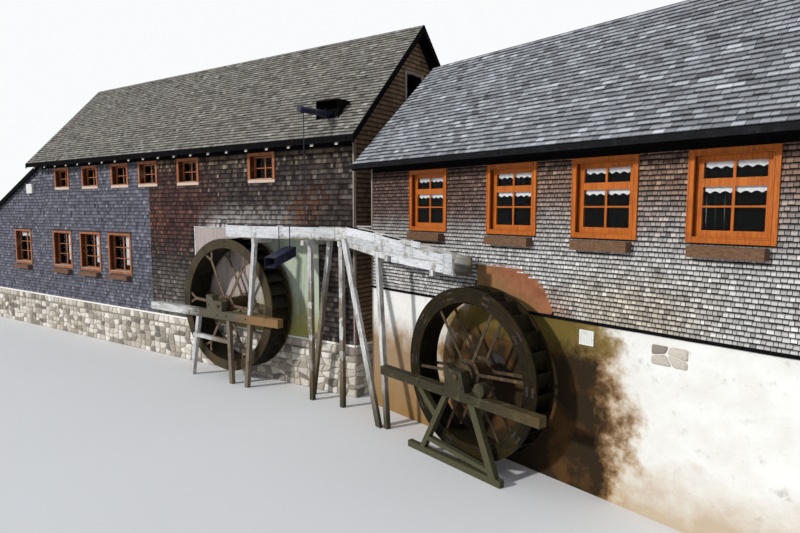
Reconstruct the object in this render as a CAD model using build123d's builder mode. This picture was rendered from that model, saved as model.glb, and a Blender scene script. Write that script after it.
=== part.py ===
"""Double water mill: two shingled houses, a bent flume and two overshot wheels.

All sizes are millimetres, Z is up and the stream bed is Z = 0.
The long house stands with its front wall on Y = 0 and its right corner at X = 0.
The short house is turned about Z and has its own planes.
"""

import os
from math import atan, cos, radians, sin, sqrt

from build123d import *

os.makedirs("parts", exist_ok=True)

# Long house
long_length = 17050.0
long_depth = 5680.0
long_plinth_top = 1440.0
long_plinth_wall = 450.0
foot_high, foot_proud = 1120.0, 80.0
wall = 250.0
long_eave_z = 7010.0
long_ridge_z = 10500.0
eave_reach = 500.0
verge_reach = 340.0
roof_thick = 105.0
floor_thick = 200.0
long_floor_z = 4900.0

# Windows of the long house
low_centres = [-long_length + x for x in (1420.0, 3600.0, 5690.0)]
low_sill, low_head, low_width = 2690.0, 4240.0, 1540.0
up_centres = [-long_length + x for x in (1630.0, 3800.0, 5890.0, 7680.0, 9960.0, 13490.0)]
up_sill, up_head, up_width = 5915.0, 6800.0, 1150.0
casing = 120.0
casing_lap = 70.0
casing_proud = 35.0
lining = 25.0
sash_deep = 50.0
bar = 28.0
long_reveal, long_stile, low_post, up_post = 150.0, 50.0, 67.0, 42.0
short_reveal, short_stile, short_post = 60.0, 95.0, 38.0
top_light, transom_rail = 0.30, 125.0
glass_thick = 6.0

# Lean-to at the far end
lean_length = 5500.0
lean_top_z = 7080.0
lean_slope = 0.41
lean_window = -long_length - 2080.0

# Short house, turned about its front left corner
turn = 15.92
short_x, short_y = 706.0, -167.0
short_length = 12300.0
short_depth = 4600.0
short_base_top = 3150.0
short_base_wall = 450.0
short_eave_z = 6240.0
short_ridge_z = 9040.0
short_verge = 160.0
short_centres = (2160.0, 4620.0, 6670.0, 8740.0, 10800.0)
short_sill, short_head, short_width = 4630.0, 6030.0, 1260.0

# Left wheel
lw_x, lw_front, lw_z = -4240.0, -916.0, 2280.0
lw_radius, lw_inner, lw_breadth = 1980.0, 1700.0, 780.0
lw_buckets, lw_arms, lw_first_arm, lw_fork, lw_arm_face = 32, 6, 3.0, 250.0, 85.0

# Right wheel, in the planes of the short house
rw_x, rw_front, rw_z = 4310.0, -893.0, 1886.0
rw_radius, rw_inner, rw_breadth = 1720.0, 1417.0, 520.0
rw_buckets, rw_arms, rw_first_arm, rw_fork, rw_arm_face = 28, 6, -5.0, 0.0, 62.0

rim_thick = 45.0
sole_thick = 28.0
board = 26.0
axle_radius = 205.0
axle_ahead = 55.0
journal = 50.0
running = 0.3
hub_radius = 290.0
arm_thick, fork_spread = 18.0, 150.0

# Flume
flume_wide = 560.0
flume_high = 340.0
flume_board = 45.0
flume_left_end = -4130.0
flume_bend = 115.0
flume_top = 4660.0
flume_fall = 0.137
flume_right_end = 3900.0
post = 115.0

# Bearing beams, their ends and height given from the axles
beam_wide = 200.0
beam_gap = 90.0
lb_left, lb_right, lb_high, lb_seat = 3350.0, 2500.0, 235.0, 150.0
rb_left, rb_right, rb_high, rb_seat = 2420.0, 2010.0, 190.0, 286.0
lb_top = lw_z - lb_seat
rb_top = rw_z - rb_seat


def turned(x, y):
    """A place given along and into the short house, in the common frame."""
    a = radians(turn)
    return short_x + x * cos(a) + y * sin(a), short_y - x * sin(a) + y * cos(a)


def front(y=0.0):
    """Upright plane of the long house, facing the stream."""
    return Plane(origin=(0, y, 0), x_dir=(1, 0, 0), z_dir=(0, -1, 0))


def back(y):
    return Plane(origin=(0, y, 0), x_dir=(-1, 0, 0), z_dir=(0, 1, 0))


def across(x):
    """Upright plane across the long house, looking along +X."""
    return Plane(origin=(x, 0, 0), x_dir=(0, 1, 0), z_dir=(1, 0, 0))


def short_front(y=0.0):
    a = radians(turn)
    return Plane(origin=(*turned(0, y), 0), x_dir=(cos(a), -sin(a), 0), z_dir=(-sin(a), -cos(a), 0))


def short_back(y):
    a = radians(turn)
    return Plane(origin=(*turned(0, y), 0), x_dir=(-cos(a), sin(a), 0), z_dir=(sin(a), cos(a), 0))


def short_across(x):
    a = radians(turn)
    return Plane(origin=(*turned(x, 0), 0), x_dir=(sin(a), cos(a), 0), z_dir=(cos(a), -sin(a), 0))


def short_level(z=0.0):
    a = radians(turn)
    return Plane(origin=(short_x, short_y, z), x_dir=(cos(a), -sin(a), 0), z_dir=(0, 0, 1))


# Roof geometry of both houses
long_ridge_y = long_depth / 2
long_pitch = (long_ridge_z - long_eave_z) / (long_ridge_y + eave_reach)
long_drop = roof_thick * sqrt(1 + long_pitch**2)
short_ridge_y = short_depth / 2
short_pitch = (short_ridge_z - short_eave_z) / (short_ridge_y + eave_reach)
short_drop = roof_thick * sqrt(1 + short_pitch**2)


def long_under(y):
    """Height of the underside of the long roof over a line y behind the front wall."""
    return long_eave_z + (y + eave_reach) * long_pitch - long_drop


def short_under(y):
    return short_eave_z + (y + eave_reach) * short_pitch - short_drop


def lean_under(x):
    return lean_top_z - roof_thick * sqrt(1 + lean_slope**2) + (x + long_length) * lean_slope


# Walls of the long house

with BuildPart() as long_plinth:
    with BuildSketch():
        with Locations((-(long_length + lean_length) / 2, long_depth / 2)):
            Rectangle(long_length + lean_length, long_depth)
            Rectangle(long_length + lean_length - 2 * long_plinth_wall,
                      long_depth - 2 * long_plinth_wall, mode=Mode.SUBTRACT)
    extrude(amount=long_plinth_top)
    with BuildSketch():
        with Locations((-(long_length + lean_length) / 2, long_depth / 2)):
            Rectangle(long_length + lean_length + 2 * foot_proud, long_depth + 2 * foot_proud)
            Rectangle(long_length + lean_length - 2 * long_plinth_wall,
                      long_depth - 2 * long_plinth_wall, mode=Mode.SUBTRACT)
    extrude(amount=foot_high)
long_plinth.part.label = "long_plinth"
export_step(long_plinth.part, "parts/long_plinth.step")

with BuildPart() as long_front_wall:
    with BuildSketch(across(-long_length)):
        Polygon((0, long_plinth_top), (wall, long_plinth_top), (wall, long_under(wall)),
                (0, long_under(0)), align=None)
    extrude(amount=long_length)
    with BuildSketch(front()):
        with Locations(*[(x, (low_sill + low_head) / 2) for x in low_centres]):
            Rectangle(low_width - 2 * casing_lap, low_head - low_sill - 2 * casing_lap)
        with Locations(*[(x, (up_sill + up_head) / 2) for x in up_centres]):
            Rectangle(up_width - 2 * casing_lap, up_head - up_sill - 2 * casing_lap)
        with Locations((lw_x, lw_z)):
            Circle(axle_radius + 60)
    extrude(amount=-wall, mode=Mode.SUBTRACT)
long_front_wall.part.label = "long_front_wall"
export_step(long_front_wall.part, "parts/long_front_wall.step")

with BuildPart() as long_back_wall:
    with BuildSketch(across(-long_length)):
        Polygon((long_depth, long_plinth_top), (long_depth - wall, long_plinth_top),
                (long_depth - wall, long_under(wall)), (long_depth, long_under(0)), align=None)
    extrude(amount=long_length)
    with BuildSketch(back(long_depth)):
        with Locations(*[(-x, (low_sill + low_head) / 2) for x in low_centres]):
            Rectangle(low_width - 2 * casing_lap, low_head - low_sill - 2 * casing_lap)
        with Locations(*[(-x, (up_sill + up_head) / 2) for x in up_centres]):
            Rectangle(up_width - 2 * casing_lap, up_head - up_sill - 2 * casing_lap)
    extrude(amount=-wall, mode=Mode.SUBTRACT)
long_back_wall.part.label = "long_back_wall"
export_step(long_back_wall.part, "parts/long_back_wall.step")

hatch_width, hatch_high, hatch_z = 800.0, 900.0, 8650.0

with BuildPart() as long_gables:
    for x in (-wall, -long_length):
        with BuildSketch(across(x)):
            Polygon((wall, long_plinth_top), (long_depth - wall, long_plinth_top),
                    (long_depth - wall, long_under(wall)), (long_ridge_y, long_under(long_ridge_y)),
                    (wall, long_under(wall)), align=None)
            with Locations((long_ridge_y, hatch_z)):
                Rectangle(hatch_width, hatch_high, mode=Mode.SUBTRACT)
        extrude(amount=wall)
long_gables.part.label = "long_gables"
export_step(long_gables.part, "parts/long_gables.step")

with BuildPart() as long_floors:
    for z in (long_plinth_top, long_floor_z):
        with BuildSketch(Plane.XY.offset(z)):
            with Locations((-long_length / 2, long_depth / 2)):
                Rectangle(long_length - 2 * wall, long_depth - 2 * wall)
        extrude(amount=floor_thick)
long_floors.part.label = "long_floors"
export_step(long_floors.part, "parts/long_floors.step")

# Roof of the long house

roof_length = long_length + 2 * verge_reach

with BuildPart() as long_roof_front:
    with BuildSketch(across(-long_length - verge_reach)):
        Polygon((-eave_reach, long_eave_z - long_drop), (long_ridge_y, long_under(long_ridge_y)),
                (long_ridge_y, long_ridge_z), (-eave_reach, long_eave_z), align=None)
    extrude(amount=roof_length)
long_roof_front.part.label = "long_roof_front"
export_step(long_roof_front.part, "parts/long_roof_front.step")

with BuildPart() as long_roof_back:
    with BuildSketch(across(-long_length - verge_reach)):
        Polygon((long_depth + eave_reach, long_eave_z - long_drop),
                (long_ridge_y, long_under(long_ridge_y)), (long_ridge_y, long_ridge_z),
                (long_depth + eave_reach, long_eave_z), align=None)
    extrude(amount=roof_length)
long_roof_back.part.label = "long_roof_back"
export_step(long_roof_back.part, "parts/long_roof_back.step")

tail_wide, tail_high, tail_count, tail_reach = 100.0, 120.0, 20, 440.0
tail_step = (long_length - 2 * wall) / (tail_count - 1)

with BuildPart() as long_rafter_tails:
    with BuildSketch(across(-long_length + wall - tail_wide / 2)):
        Polygon((0, long_under(0)), (0, long_under(0) - tail_high),
                (-tail_reach, long_under(-tail_reach) - tail_high),
                (-tail_reach, long_under(-tail_reach)), align=None)
        Polygon((long_depth, long_under(0)), (long_depth, long_under(0) - tail_high),
                (long_depth + tail_reach, long_under(-tail_reach) - tail_high),
                (long_depth + tail_reach, long_under(-tail_reach)), align=None)
    extrude(amount=tail_wide)
    tail_pair = long_rafter_tails.part
    with Locations(*[(i * tail_step, 0, 0) for i in range(1, tail_count)]):
        add(tail_pair)
long_rafter_tails.part.label = "long_rafter_tails"
export_step(long_rafter_tails.part, "parts/long_rafter_tails.step")

barge_thick, barge_high = 30.0, 200.0

# Lean-to

lean_end = -long_length - lean_length
lean_reach, lean_verge = 450.0, 120.0

with BuildPart() as lean_walls:
    with BuildSketch(front()):
        Polygon((-long_length, long_plinth_top), (lean_end, long_plinth_top),
                (lean_end, lean_under(lean_end)), (-long_length, lean_under(-long_length)), align=None)
    extrude(amount=-long_depth)
    with BuildSketch(front(wall)):
        Polygon((-long_length, long_plinth_top), (lean_end + wall, long_plinth_top),
                (lean_end + wall, lean_under(lean_end + wall)),
                (-long_length, lean_under(-long_length)), align=None)
    extrude(amount=-(long_depth - 2 * wall), mode=Mode.SUBTRACT)
    with BuildSketch(front()):
        with Locations((lean_window, (low_sill + low_head) / 2)):
            Rectangle(low_width - 2 * casing_lap, low_head - low_sill - 2 * casing_lap)
    extrude(amount=-long_depth, mode=Mode.SUBTRACT)
lean_walls.part.label = "lean_walls"
export_step(lean_walls.part, "parts/lean_walls.step")

lean_drop = roof_thick * sqrt(1 + lean_slope**2)

with BuildPart() as lean_roof:
    with BuildSketch(front(-lean_verge)):
        Polygon((-long_length, lean_top_z), (-long_length, lean_top_z - lean_drop),
                (lean_end - lean_reach, lean_under(lean_end - lean_reach)),
                (lean_end - lean_reach, lean_under(lean_end - lean_reach) + lean_drop), align=None)
    extrude(amount=-(long_depth + 2 * lean_verge))
lean_roof.part.label = "lean_roof"
export_step(lean_roof.part, "parts/lean_roof.step")

barge_x = long_length + verge_reach + barge_thick
barge_z = lean_top_z - (verge_reach + barge_thick) * lean_slope

with BuildPart() as bargeboards:
    for start in (verge_reach, -barge_x):
        with BuildSketch(across(start)):
            Polygon((-eave_reach, long_eave_z), (-eave_reach, long_eave_z - barge_high),
                    (long_ridge_y, long_ridge_z - barge_high),
                    (long_depth + eave_reach, long_eave_z - barge_high),
                    (long_depth + eave_reach, long_eave_z), (long_ridge_y, long_ridge_z), align=None)
        extrude(amount=barge_thick)
    for plane in (front(-lean_verge), front(long_depth + lean_verge + barge_thick)):
        with BuildSketch(plane):
            Polygon((-barge_x, barge_z), (-barge_x, barge_z - barge_high),
                    (lean_end - lean_reach, lean_under(lean_end - lean_reach) + lean_drop - barge_high),
                    (lean_end - lean_reach, lean_under(lean_end - lean_reach) + lean_drop), align=None)
        extrude(amount=barge_thick)
bargeboards.part.label = "bargeboards"
export_step(bargeboards.part, "parts/bargeboards.step")

# Windows: casing on the wall face, lined hole, sash set back in it, bars in front of the glass

def window_row(faces, sill, head, width, reveal, stile, middle, rows, transom):
    """Frames of one size for several wall faces. A transom of 0 leaves out the top light and its rail."""
    high = head - sill
    hole_w, hole_h = width - 2 * casing_lap, high - 2 * casing_lap
    lined_w, lined_h = hole_w - 2 * lining, hole_h - 2 * lining
    clear_w, clear_h = lined_w - 2 * stile, lined_h - 2 * stile
    light = clear_h * (1 - transom)
    with BuildPart() as row:
        for plane, centres in faces:
            spots = [(x, (sill + head) / 2) for x in centres]
            with BuildSketch(plane):
                with Locations(*spots):
                    Rectangle(width, high)
                    Rectangle(lined_w, lined_h, mode=Mode.SUBTRACT)
            extrude(amount=casing_proud)
            with BuildSketch(plane):
                with Locations(*spots):
                    Rectangle(hole_w, hole_h)
                    Rectangle(lined_w, lined_h, mode=Mode.SUBTRACT)
            extrude(amount=-reveal - sash_deep)
            with BuildSketch(plane.offset(-reveal)):
                with Locations(*spots):
                    Rectangle(lined_w, lined_h)
                    Rectangle(clear_w, clear_h, mode=Mode.SUBTRACT)
            extrude(amount=-sash_deep)
            with BuildSketch(plane.offset(-reveal)):
                with Locations(*spots):
                    Rectangle(middle, clear_h)
                    with Locations(*[(0, -clear_h / 2 + light * r / rows) for r in range(1, rows)]):
                        Rectangle(clear_w, bar)
                    if transom:
                        with Locations((0, -clear_h / 2 + light)):
                            Rectangle(clear_w, transom_rail)
            extrude(amount=-sash_deep / 2)
    return row.part


ground_centres = [*low_centres, lean_window]
low_faces = [(front(), ground_centres), (back(long_depth), [-x for x in ground_centres])]
up_faces = [(front(), up_centres), (back(long_depth), [-x for x in up_centres])]
short_faces = [(short_front(), short_centres), (short_back(short_depth), [-x for x in short_centres])]

for name, part in (
    ("long_lower_windows",
     window_row(low_faces, low_sill, low_head, low_width, long_reveal, long_stile, low_post, 3, 0)),
    ("long_upper_windows",
     window_row(up_faces, up_sill, up_head, up_width, long_reveal, long_stile, up_post, 2, 0)),
    ("short_windows",
     window_row(short_faces, short_sill, short_head, short_width, short_reveal, short_stile, short_post, 2,
                top_light)),
):
    part.label = name
    export_step(part, f"parts/{name}.step")

with BuildPart() as window_glass:
    for faces, sill, head, width, reveal, stile in (
        (low_faces, low_sill, low_head, low_width, long_reveal, long_stile),
        (up_faces, up_sill, up_head, up_width, long_reveal, long_stile),
        (short_faces, short_sill, short_head, short_width, short_reveal, short_stile),
    ):
        frame_edge = casing_lap + lining + stile
        for plane, centres in faces:
            with BuildSketch(plane.offset(-reveal - sash_deep / 2)):
                with Locations(*[(x, (sill + head) / 2) for x in centres]):
                    Rectangle(width - 2 * frame_edge, head - sill - 2 * frame_edge)
            extrude(amount=-glass_thick)
window_glass.part.label = "window_glass"
export_step(window_glass.part, "parts/window_glass.step")

# Short house

with BuildPart() as short_basement:
    with BuildSketch(short_level()):
        with Locations((short_length / 2, short_depth / 2)):
            Rectangle(short_length, short_depth)
            Rectangle(short_length - 2 * short_base_wall,
                      short_depth - 2 * short_base_wall, mode=Mode.SUBTRACT)
    extrude(amount=short_base_top)
    with BuildSketch(short_front()):
        with Locations((rw_x, rw_z)):
            Circle(axle_radius + 60)
    extrude(amount=-short_base_wall, mode=Mode.SUBTRACT)
short_basement.part.label = "short_basement"
export_step(short_basement.part, "parts/short_basement.step")

with BuildPart() as short_front_wall:
    with BuildSketch(short_across(0)):
        Polygon((0, short_base_top), (wall, short_base_top), (wall, short_under(wall)),
                (0, short_under(0)), align=None)
    extrude(amount=short_length)
    with BuildSketch(short_front()):
        with Locations(*[(x, (short_sill + short_head) / 2) for x in short_centres]):
            Rectangle(short_width - 2 * casing_lap, short_head - short_sill - 2 * casing_lap)
    extrude(amount=-wall, mode=Mode.SUBTRACT)
short_front_wall.part.label = "short_front_wall"
export_step(short_front_wall.part, "parts/short_front_wall.step")

with BuildPart() as short_back_wall:
    with BuildSketch(short_across(0)):
        Polygon((short_depth, short_base_top), (short_depth - wall, short_base_top),
                (short_depth - wall, short_under(wall)), (short_depth, short_under(0)), align=None)
    extrude(amount=short_length)
    with BuildSketch(short_back(short_depth)):
        with Locations(*[(-x, (short_sill + short_head) / 2) for x in short_centres]):
            Rectangle(short_width - 2 * casing_lap, short_head - short_sill - 2 * casing_lap)
    extrude(amount=-wall, mode=Mode.SUBTRACT)
short_back_wall.part.label = "short_back_wall"
export_step(short_back_wall.part, "parts/short_back_wall.step")

with BuildPart() as short_gables:
    for x in (0, short_length - wall):
        with BuildSketch(short_across(x)):
            Polygon((wall, short_base_top), (short_depth - wall, short_base_top),
                    (short_depth - wall, short_under(wall)), (short_ridge_y, short_under(short_ridge_y)),
                    (wall, short_under(wall)), align=None)
        extrude(amount=wall)
short_gables.part.label = "short_gables"
export_step(short_gables.part, "parts/short_gables.step")

with BuildPart() as short_floor:
    with BuildSketch(short_level(short_base_top)):
        with Locations((short_length / 2, short_depth / 2)):
            Rectangle(short_length - 2 * wall, short_depth - 2 * wall)
    extrude(amount=floor_thick)
short_floor.part.label = "short_floor"
export_step(short_floor.part, "parts/short_floor.step")

with BuildPart() as short_roof_front:
    with BuildSketch(short_across(-short_verge)):
        Polygon((-eave_reach, short_eave_z - short_drop), (short_ridge_y, short_under(short_ridge_y)),
                (short_ridge_y, short_ridge_z), (-eave_reach, short_eave_z), align=None)
    extrude(amount=short_length + 2 * short_verge)
short_roof_front.part.label = "short_roof_front"
export_step(short_roof_front.part, "parts/short_roof_front.step")

with BuildPart() as short_roof_back:
    with BuildSketch(short_across(-short_verge)):
        Polygon((short_depth + eave_reach, short_eave_z - short_drop),
                (short_ridge_y, short_under(short_ridge_y)), (short_ridge_y, short_ridge_z),
                (short_depth + eave_reach, short_eave_z), align=None)
    extrude(amount=short_length + 2 * short_verge)
short_roof_back.part.label = "short_roof_back"
export_step(short_roof_back.part, "parts/short_roof_back.step")

gutter_wide, gutter_high = 110.0, 100.0

with BuildPart() as short_gutters:
    for y, side in ((-eave_reach, -1), (short_depth + eave_reach, 1)):
        with BuildSketch(short_across(-short_verge)):
            with Locations((y + side * gutter_wide / 2, short_eave_z - 60)):
                Rectangle(gutter_wide, gutter_high)
            with Locations((y + side * gutter_wide / 2, short_eave_z - 50)):
                Rectangle(gutter_wide - 12, gutter_high - 12, mode=Mode.SUBTRACT)
        extrude(amount=short_length + 2 * short_verge)
short_gutters.part.label = "short_gutters"
export_step(short_gutters.part, "parts/short_gutters.step")

box_wide, box_high = 190.0, 170.0

with BuildPart() as flower_boxes:
    for plane, centres, sill, width in ((front(), ground_centres, low_sill, low_width),
                                        (short_front(), short_centres, short_sill, short_width)):
        with BuildSketch(plane):
            with Locations(*[(x, sill - box_high / 2 - 40) for x in centres]):
                Rectangle(width * 0.86, box_high)
        extrude(amount=box_wide)
        rim = plane.origin + Vector(0, 0, sill - 40)
        with BuildSketch(Plane(origin=rim, x_dir=plane.x_dir, z_dir=(0, 0, 1))):
            with Locations(*[(x, -box_wide / 2) for x in centres]):
                Rectangle(width * 0.86 - 36, box_wide - 36)
        extrude(amount=-(box_high - 20), mode=Mode.SUBTRACT)
flower_boxes.part.label = "flower_boxes"
export_step(flower_boxes.part, "parts/flower_boxes.step")

# Boards and plates on the walls

panel_left, panel_right, panel_top, panel_thick = lw_x - 2570.0, -1300.0, 4560.0, 25.0

with BuildPart() as splash_panel:
    with BuildSketch(front()):
        Polygon((panel_left, panel_top), (panel_left, long_plinth_top),
                (panel_right, long_plinth_top), (panel_right, panel_top), align=None)
        with Locations((lw_x, lw_z)):
            Circle(axle_radius + 60, mode=Mode.SUBTRACT)
    extrude(amount=panel_thick)
splash_panel.part.label = "splash_panel"
export_step(splash_panel.part, "parts/splash_panel.step")

sheet_left, sheet_wide, sheet_high, sheet_thick = rw_x - 580.0, 1950.0, 850.0, 12.0
sheet_edge = ((0, 0.95), (0.32, 1), (0.57, 0.97), (0.8, 0.75), (0.91, 0.53), (1, 0.09), (0.98, 0), (0, 0))

with BuildPart() as splash_sheet:
    with BuildSketch(short_front()):
        Polygon(*[(sheet_left + u * sheet_wide, short_base_top + 10 + v * sheet_high)
                  for u, v in sheet_edge], align=None)
    extrude(amount=sheet_thick)
splash_sheet.part.label = "splash_sheet"
export_step(splash_sheet.part, "parts/splash_sheet.step")

vent_x, vent_z, vent_wide, vent_high, vent_deep = 6425.0, 2850.0, 290.0, 270.0, 25.0
louvre_x, louvre_z = -long_length - 1100.0, 6000.0
louvre_wide, louvre_high, louvre_deep = 500.0, 400.0, 90.0

with BuildPart() as wall_vents:
    with BuildSketch(short_front()):
        with Locations((vent_x, vent_z)):
            Rectangle(vent_wide, vent_high)
    extrude(amount=vent_deep)
    with BuildSketch(front()):
        with Locations((louvre_x, louvre_z)):
            Rectangle(louvre_wide, louvre_high)
    extrude(amount=louvre_deep)
wall_vents.part.label = "wall_vents"
export_step(wall_vents.part, "parts/wall_vents.step")

# Flume: two troughs that meet at an inlet between the houses

flume_low = flume_top - flume_high
flume_back = lw_front + flume_wide
short_bend = -367.0
junction_run = 480.0
right_start = short_bend + junction_run
inlet_x, inlet_wide, inlet_length = 330.0, 420.0, 3200.0
inner = flume_wide - 2 * flume_board
fall_angle = atan(flume_fall)
a = radians(turn)
along = Vector(cos(a) * cos(fall_angle), -sin(a) * cos(fall_angle), -sin(fall_angle))
level_along = Vector(cos(a), -sin(a), 0)


def right_low(x):
    """Height of the underside of the right trough."""
    return flume_low - (x - right_start) * flume_fall


def trough(plane, length, way):
    """Open trough swept from an upright plane, its width centred on the plane's x."""
    with BuildPart() as channel:
        with BuildSketch(plane):
            with Locations((0, flume_high / 2)):
                Rectangle(flume_wide, flume_high)
            with Locations((0, flume_high / 2 + flume_board)):
                Rectangle(inner, flume_high, mode=Mode.SUBTRACT)
        extrude(amount=length, dir=way)
    return channel.part


left_stop = flume_bend - 300
flume_left = trough(Plane(origin=(flume_left_end, lw_front + flume_wide / 2, flume_low),
                          x_dir=(0, 1, 0), z_dir=(1, 0, 0)), left_stop - flume_left_end, (1, 0, 0))
flume_left.label = "flume_left"
export_step(flume_left, "parts/flume_left.step")

flume_right = trough(Plane(origin=(*turned(right_start, rw_front + flume_wide / 2), flume_low),
                           x_dir=(sin(a), cos(a), 0), z_dir=level_along),
                     (flume_right_end - right_start) / cos(fall_angle), along)
flume_right.label = "flume_right"
export_step(flume_right, "parts/flume_right.step")

corner_near = turned(right_start, rw_front)
corner_far = turned(right_start, rw_front + flume_wide)

with BuildPart() as flume_inlet:
    with BuildSketch(Plane.XY.offset(flume_low)):
        Polygon((left_stop, lw_front), (flume_bend, lw_front), corner_near, corner_far,
                (inlet_x + inlet_wide / 2, flume_back + 60), (inlet_x + inlet_wide / 2, inlet_length),
                (inlet_x - inlet_wide / 2, inlet_length), (inlet_x - inlet_wide / 2, flume_back),
                (left_stop, flume_back), align=None)
    extrude(amount=flume_high)
    with BuildSketch(Plane.XY.offset(flume_low + flume_board)):
        with Locations(((left_stop + 100) / 2, lw_front + flume_wide / 2)):
            Rectangle(100 - left_stop, inner)
        with Locations((inlet_x, (inlet_length + lw_front + 3 * flume_board) / 2)):
            Rectangle(inlet_wide - 2 * flume_board, inlet_length - lw_front - 3 * flume_board)
        Polygon(turned(short_bend + 120, rw_front + flume_board),
                turned(right_start, rw_front + flume_board),
                turned(right_start, rw_front + flume_wide - flume_board),
                turned(short_bend + 260, rw_front + flume_wide - flume_board), align=None)
    extrude(amount=flume_high, mode=Mode.SUBTRACT)
flume_inlet.part.label = "flume_inlet"
export_step(flume_inlet.part, "parts/flume_inlet.step")

# Cross pieces and posts under the flume

bearer_high, bearer_wide = 130.0, 110.0
post_y = lw_front + post / 2
bearer_xs = (-2690.0, -810.0, 260.0)
short_bearer_xs = (1780.0, 3300.0)
rail_left, rail_right = 180.0, 1690.0

with BuildPart() as flume_bearers:
    for x in bearer_xs[:2]:
        with BuildSketch(across(x - bearer_wide / 2)):
            Polygon((lw_front - 260, flume_low), (lw_front - 260, flume_low - bearer_high),
                    (-panel_thick, flume_low - bearer_high), (-panel_thick, flume_low), align=None)
        extrude(amount=bearer_wide)
    with BuildSketch(across(bearer_xs[2] - bearer_wide / 2)):
        Polygon((lw_front - 40, flume_low), (lw_front - 40, flume_low - bearer_high),
                (flume_back, flume_low - bearer_high), (flume_back, flume_low), align=None)
    extrude(amount=bearer_wide)
    for x in short_bearer_xs:
        with BuildSketch(short_front()):
            Polygon((x - bearer_wide / 2, right_low(x - bearer_wide / 2)),
                    (x + bearer_wide / 2, right_low(x + bearer_wide / 2)),
                    (x + bearer_wide / 2, right_low(x) - bearer_high),
                    (x - bearer_wide / 2, right_low(x) - bearer_high), align=None)
        extrude(amount=-rw_front + 40)
    with BuildSketch(short_front(rw_front)):
        Polygon((rail_left, right_low(rail_left)), (rail_right, right_low(rail_right)),
                (rail_right, right_low(rail_right) - post), (rail_left, right_low(rail_left) - post),
                align=None)
    extrude(amount=-post)
flume_bearers.part.label = "flume_bearers"
export_step(flume_bearers.part, "parts/flume_bearers.step")

post_top = flume_low - bearer_high
half = post / 2
beam_post_lean, back_post_lean = 250.0, 680.0
rail_post, rail_post_lean = 1300.0, 335.0
brace_top, brace_rise, brace_lean, brace_face = 0.0, 90.0, 1410.0, 180.0

with BuildPart() as flume_posts:
    with BuildSketch(front(lw_front - beam_gap - beam_wide / 2 - half)):
        foot_x = bearer_xs[0] - beam_post_lean
        Polygon((bearer_xs[0] - half, post_top), (bearer_xs[0] + half, post_top),
                (foot_x + half, lb_top), (foot_x - half, lb_top), align=None)
    extrude(amount=-post)
    with BuildSketch():
        with Locations((bearer_xs[1], post_y), (bearer_xs[2], post_y)):
            Rectangle(post, post)
    extrude(amount=post_top)
    with BuildSketch(front(flume_back - 190)):
        top_x = bearer_xs[1] + 365
        Polygon((top_x - half, flume_low), (top_x + half, flume_low),
                (top_x - back_post_lean + half, 0), (top_x - back_post_lean - half, 0), align=None)
    extrude(amount=-post)
    with BuildSketch(short_front(rw_front)):
        Polygon((rail_post, right_low(rail_post) - post),
                (rail_post + post, right_low(rail_post + post) - post),
                (rail_post + post + rail_post_lean, 0), (rail_post + rail_post_lean, 0), align=None)
    extrude(amount=-post)
    with BuildSketch(short_front(rw_front)):
        Polygon((brace_top, flume_low + brace_rise), (brace_top + brace_face, flume_low + brace_rise),
                (brace_top + brace_face + brace_lean, 0), (brace_top + brace_lean, 0), align=None)
    extrude(amount=post * 0.7)
flume_posts.part.label = "flume_posts"
export_step(flume_posts.part, "parts/flume_posts.step")

# Bypass chute hung below the left trough

chute_x, chute_wide, chute_high, chute_skin = -1700.0, 400.0, 260.0, 8.0
chute_back, chute_front, chute_top, chute_fall = -700.0, -1480.0, 4110.0, 0.333
strap_thick, strap_wide = 6.0, 30.0


def chute_side(grow, inset):
    """Slanted outline of the chute, made longer by grow and lower by inset on both edges."""
    outline = []
    for y, low in ((chute_back + grow, 0), (chute_front - grow, 0), (chute_front - grow, 1),
                   (chute_back + grow, 1)):
        z = chute_top + (y - chute_back) * chute_fall
        outline.append((y, z - chute_high + inset if low else z - inset))
    return outline


with BuildPart() as bypass_chute:
    with BuildSketch(across(chute_x - chute_wide / 2)):
        Polygon(*chute_side(0, 0), align=None)
    extrude(amount=chute_wide)
    with BuildSketch(across(chute_x - chute_wide / 2 + chute_skin)):
        Polygon(*chute_side(10, chute_skin), align=None)
    extrude(amount=chute_wide - 2 * chute_skin, mode=Mode.SUBTRACT)
    for x in (chute_x - chute_wide / 2 - strap_thick, chute_x + chute_wide / 2):
        with BuildSketch(across(x)):
            Polygon((lw_front - strap_thick, chute_top - 230), (lw_front - strap_wide - 6, chute_top - 230),
                    (lw_front - strap_wide - 6, flume_top), (lw_front, flume_top),
                    (lw_front, flume_top - 40), (lw_front - strap_thick, flume_top - 40), align=None)
        extrude(amount=strap_thick)
bypass_chute.part.label = "bypass_chute"
export_step(bypass_chute.part, "parts/bypass_chute.step")

# Hatch in the long roof with a bar that reaches over the flume

hatch_x, hatch_near, hatch_top, hatch_skin, dormer_wide = -960.0, 20.0, 8080.0, 25.0, 800.0
bar_radius, bar_z, bar_end, bar_foot = 85.0, 7700.0, -1060.0, 260.0
rod_radius = 12.0
hatch_far = (hatch_top - long_eave_z) / long_pitch - eave_reach
hatch_foot = long_eave_z + (hatch_near + eave_reach) * long_pitch

with BuildPart() as roof_hatch:
    with BuildSketch(across(hatch_x - dormer_wide / 2)):
        Polygon((hatch_near, hatch_foot), (hatch_near, hatch_top), (hatch_far, hatch_top), align=None)
    extrude(amount=dormer_wide)
    with BuildSketch(across(hatch_x - dormer_wide / 2 + hatch_skin)):
        Polygon((hatch_near, hatch_foot), (hatch_near, hatch_top - hatch_skin),
                (hatch_far - hatch_skin / long_pitch, hatch_top - hatch_skin), align=None)
    extrude(amount=dormer_wide - 2 * hatch_skin, mode=Mode.SUBTRACT)
roof_hatch.part.label = "roof_hatch"
export_step(roof_hatch.part, "parts/roof_hatch.step")

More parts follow.
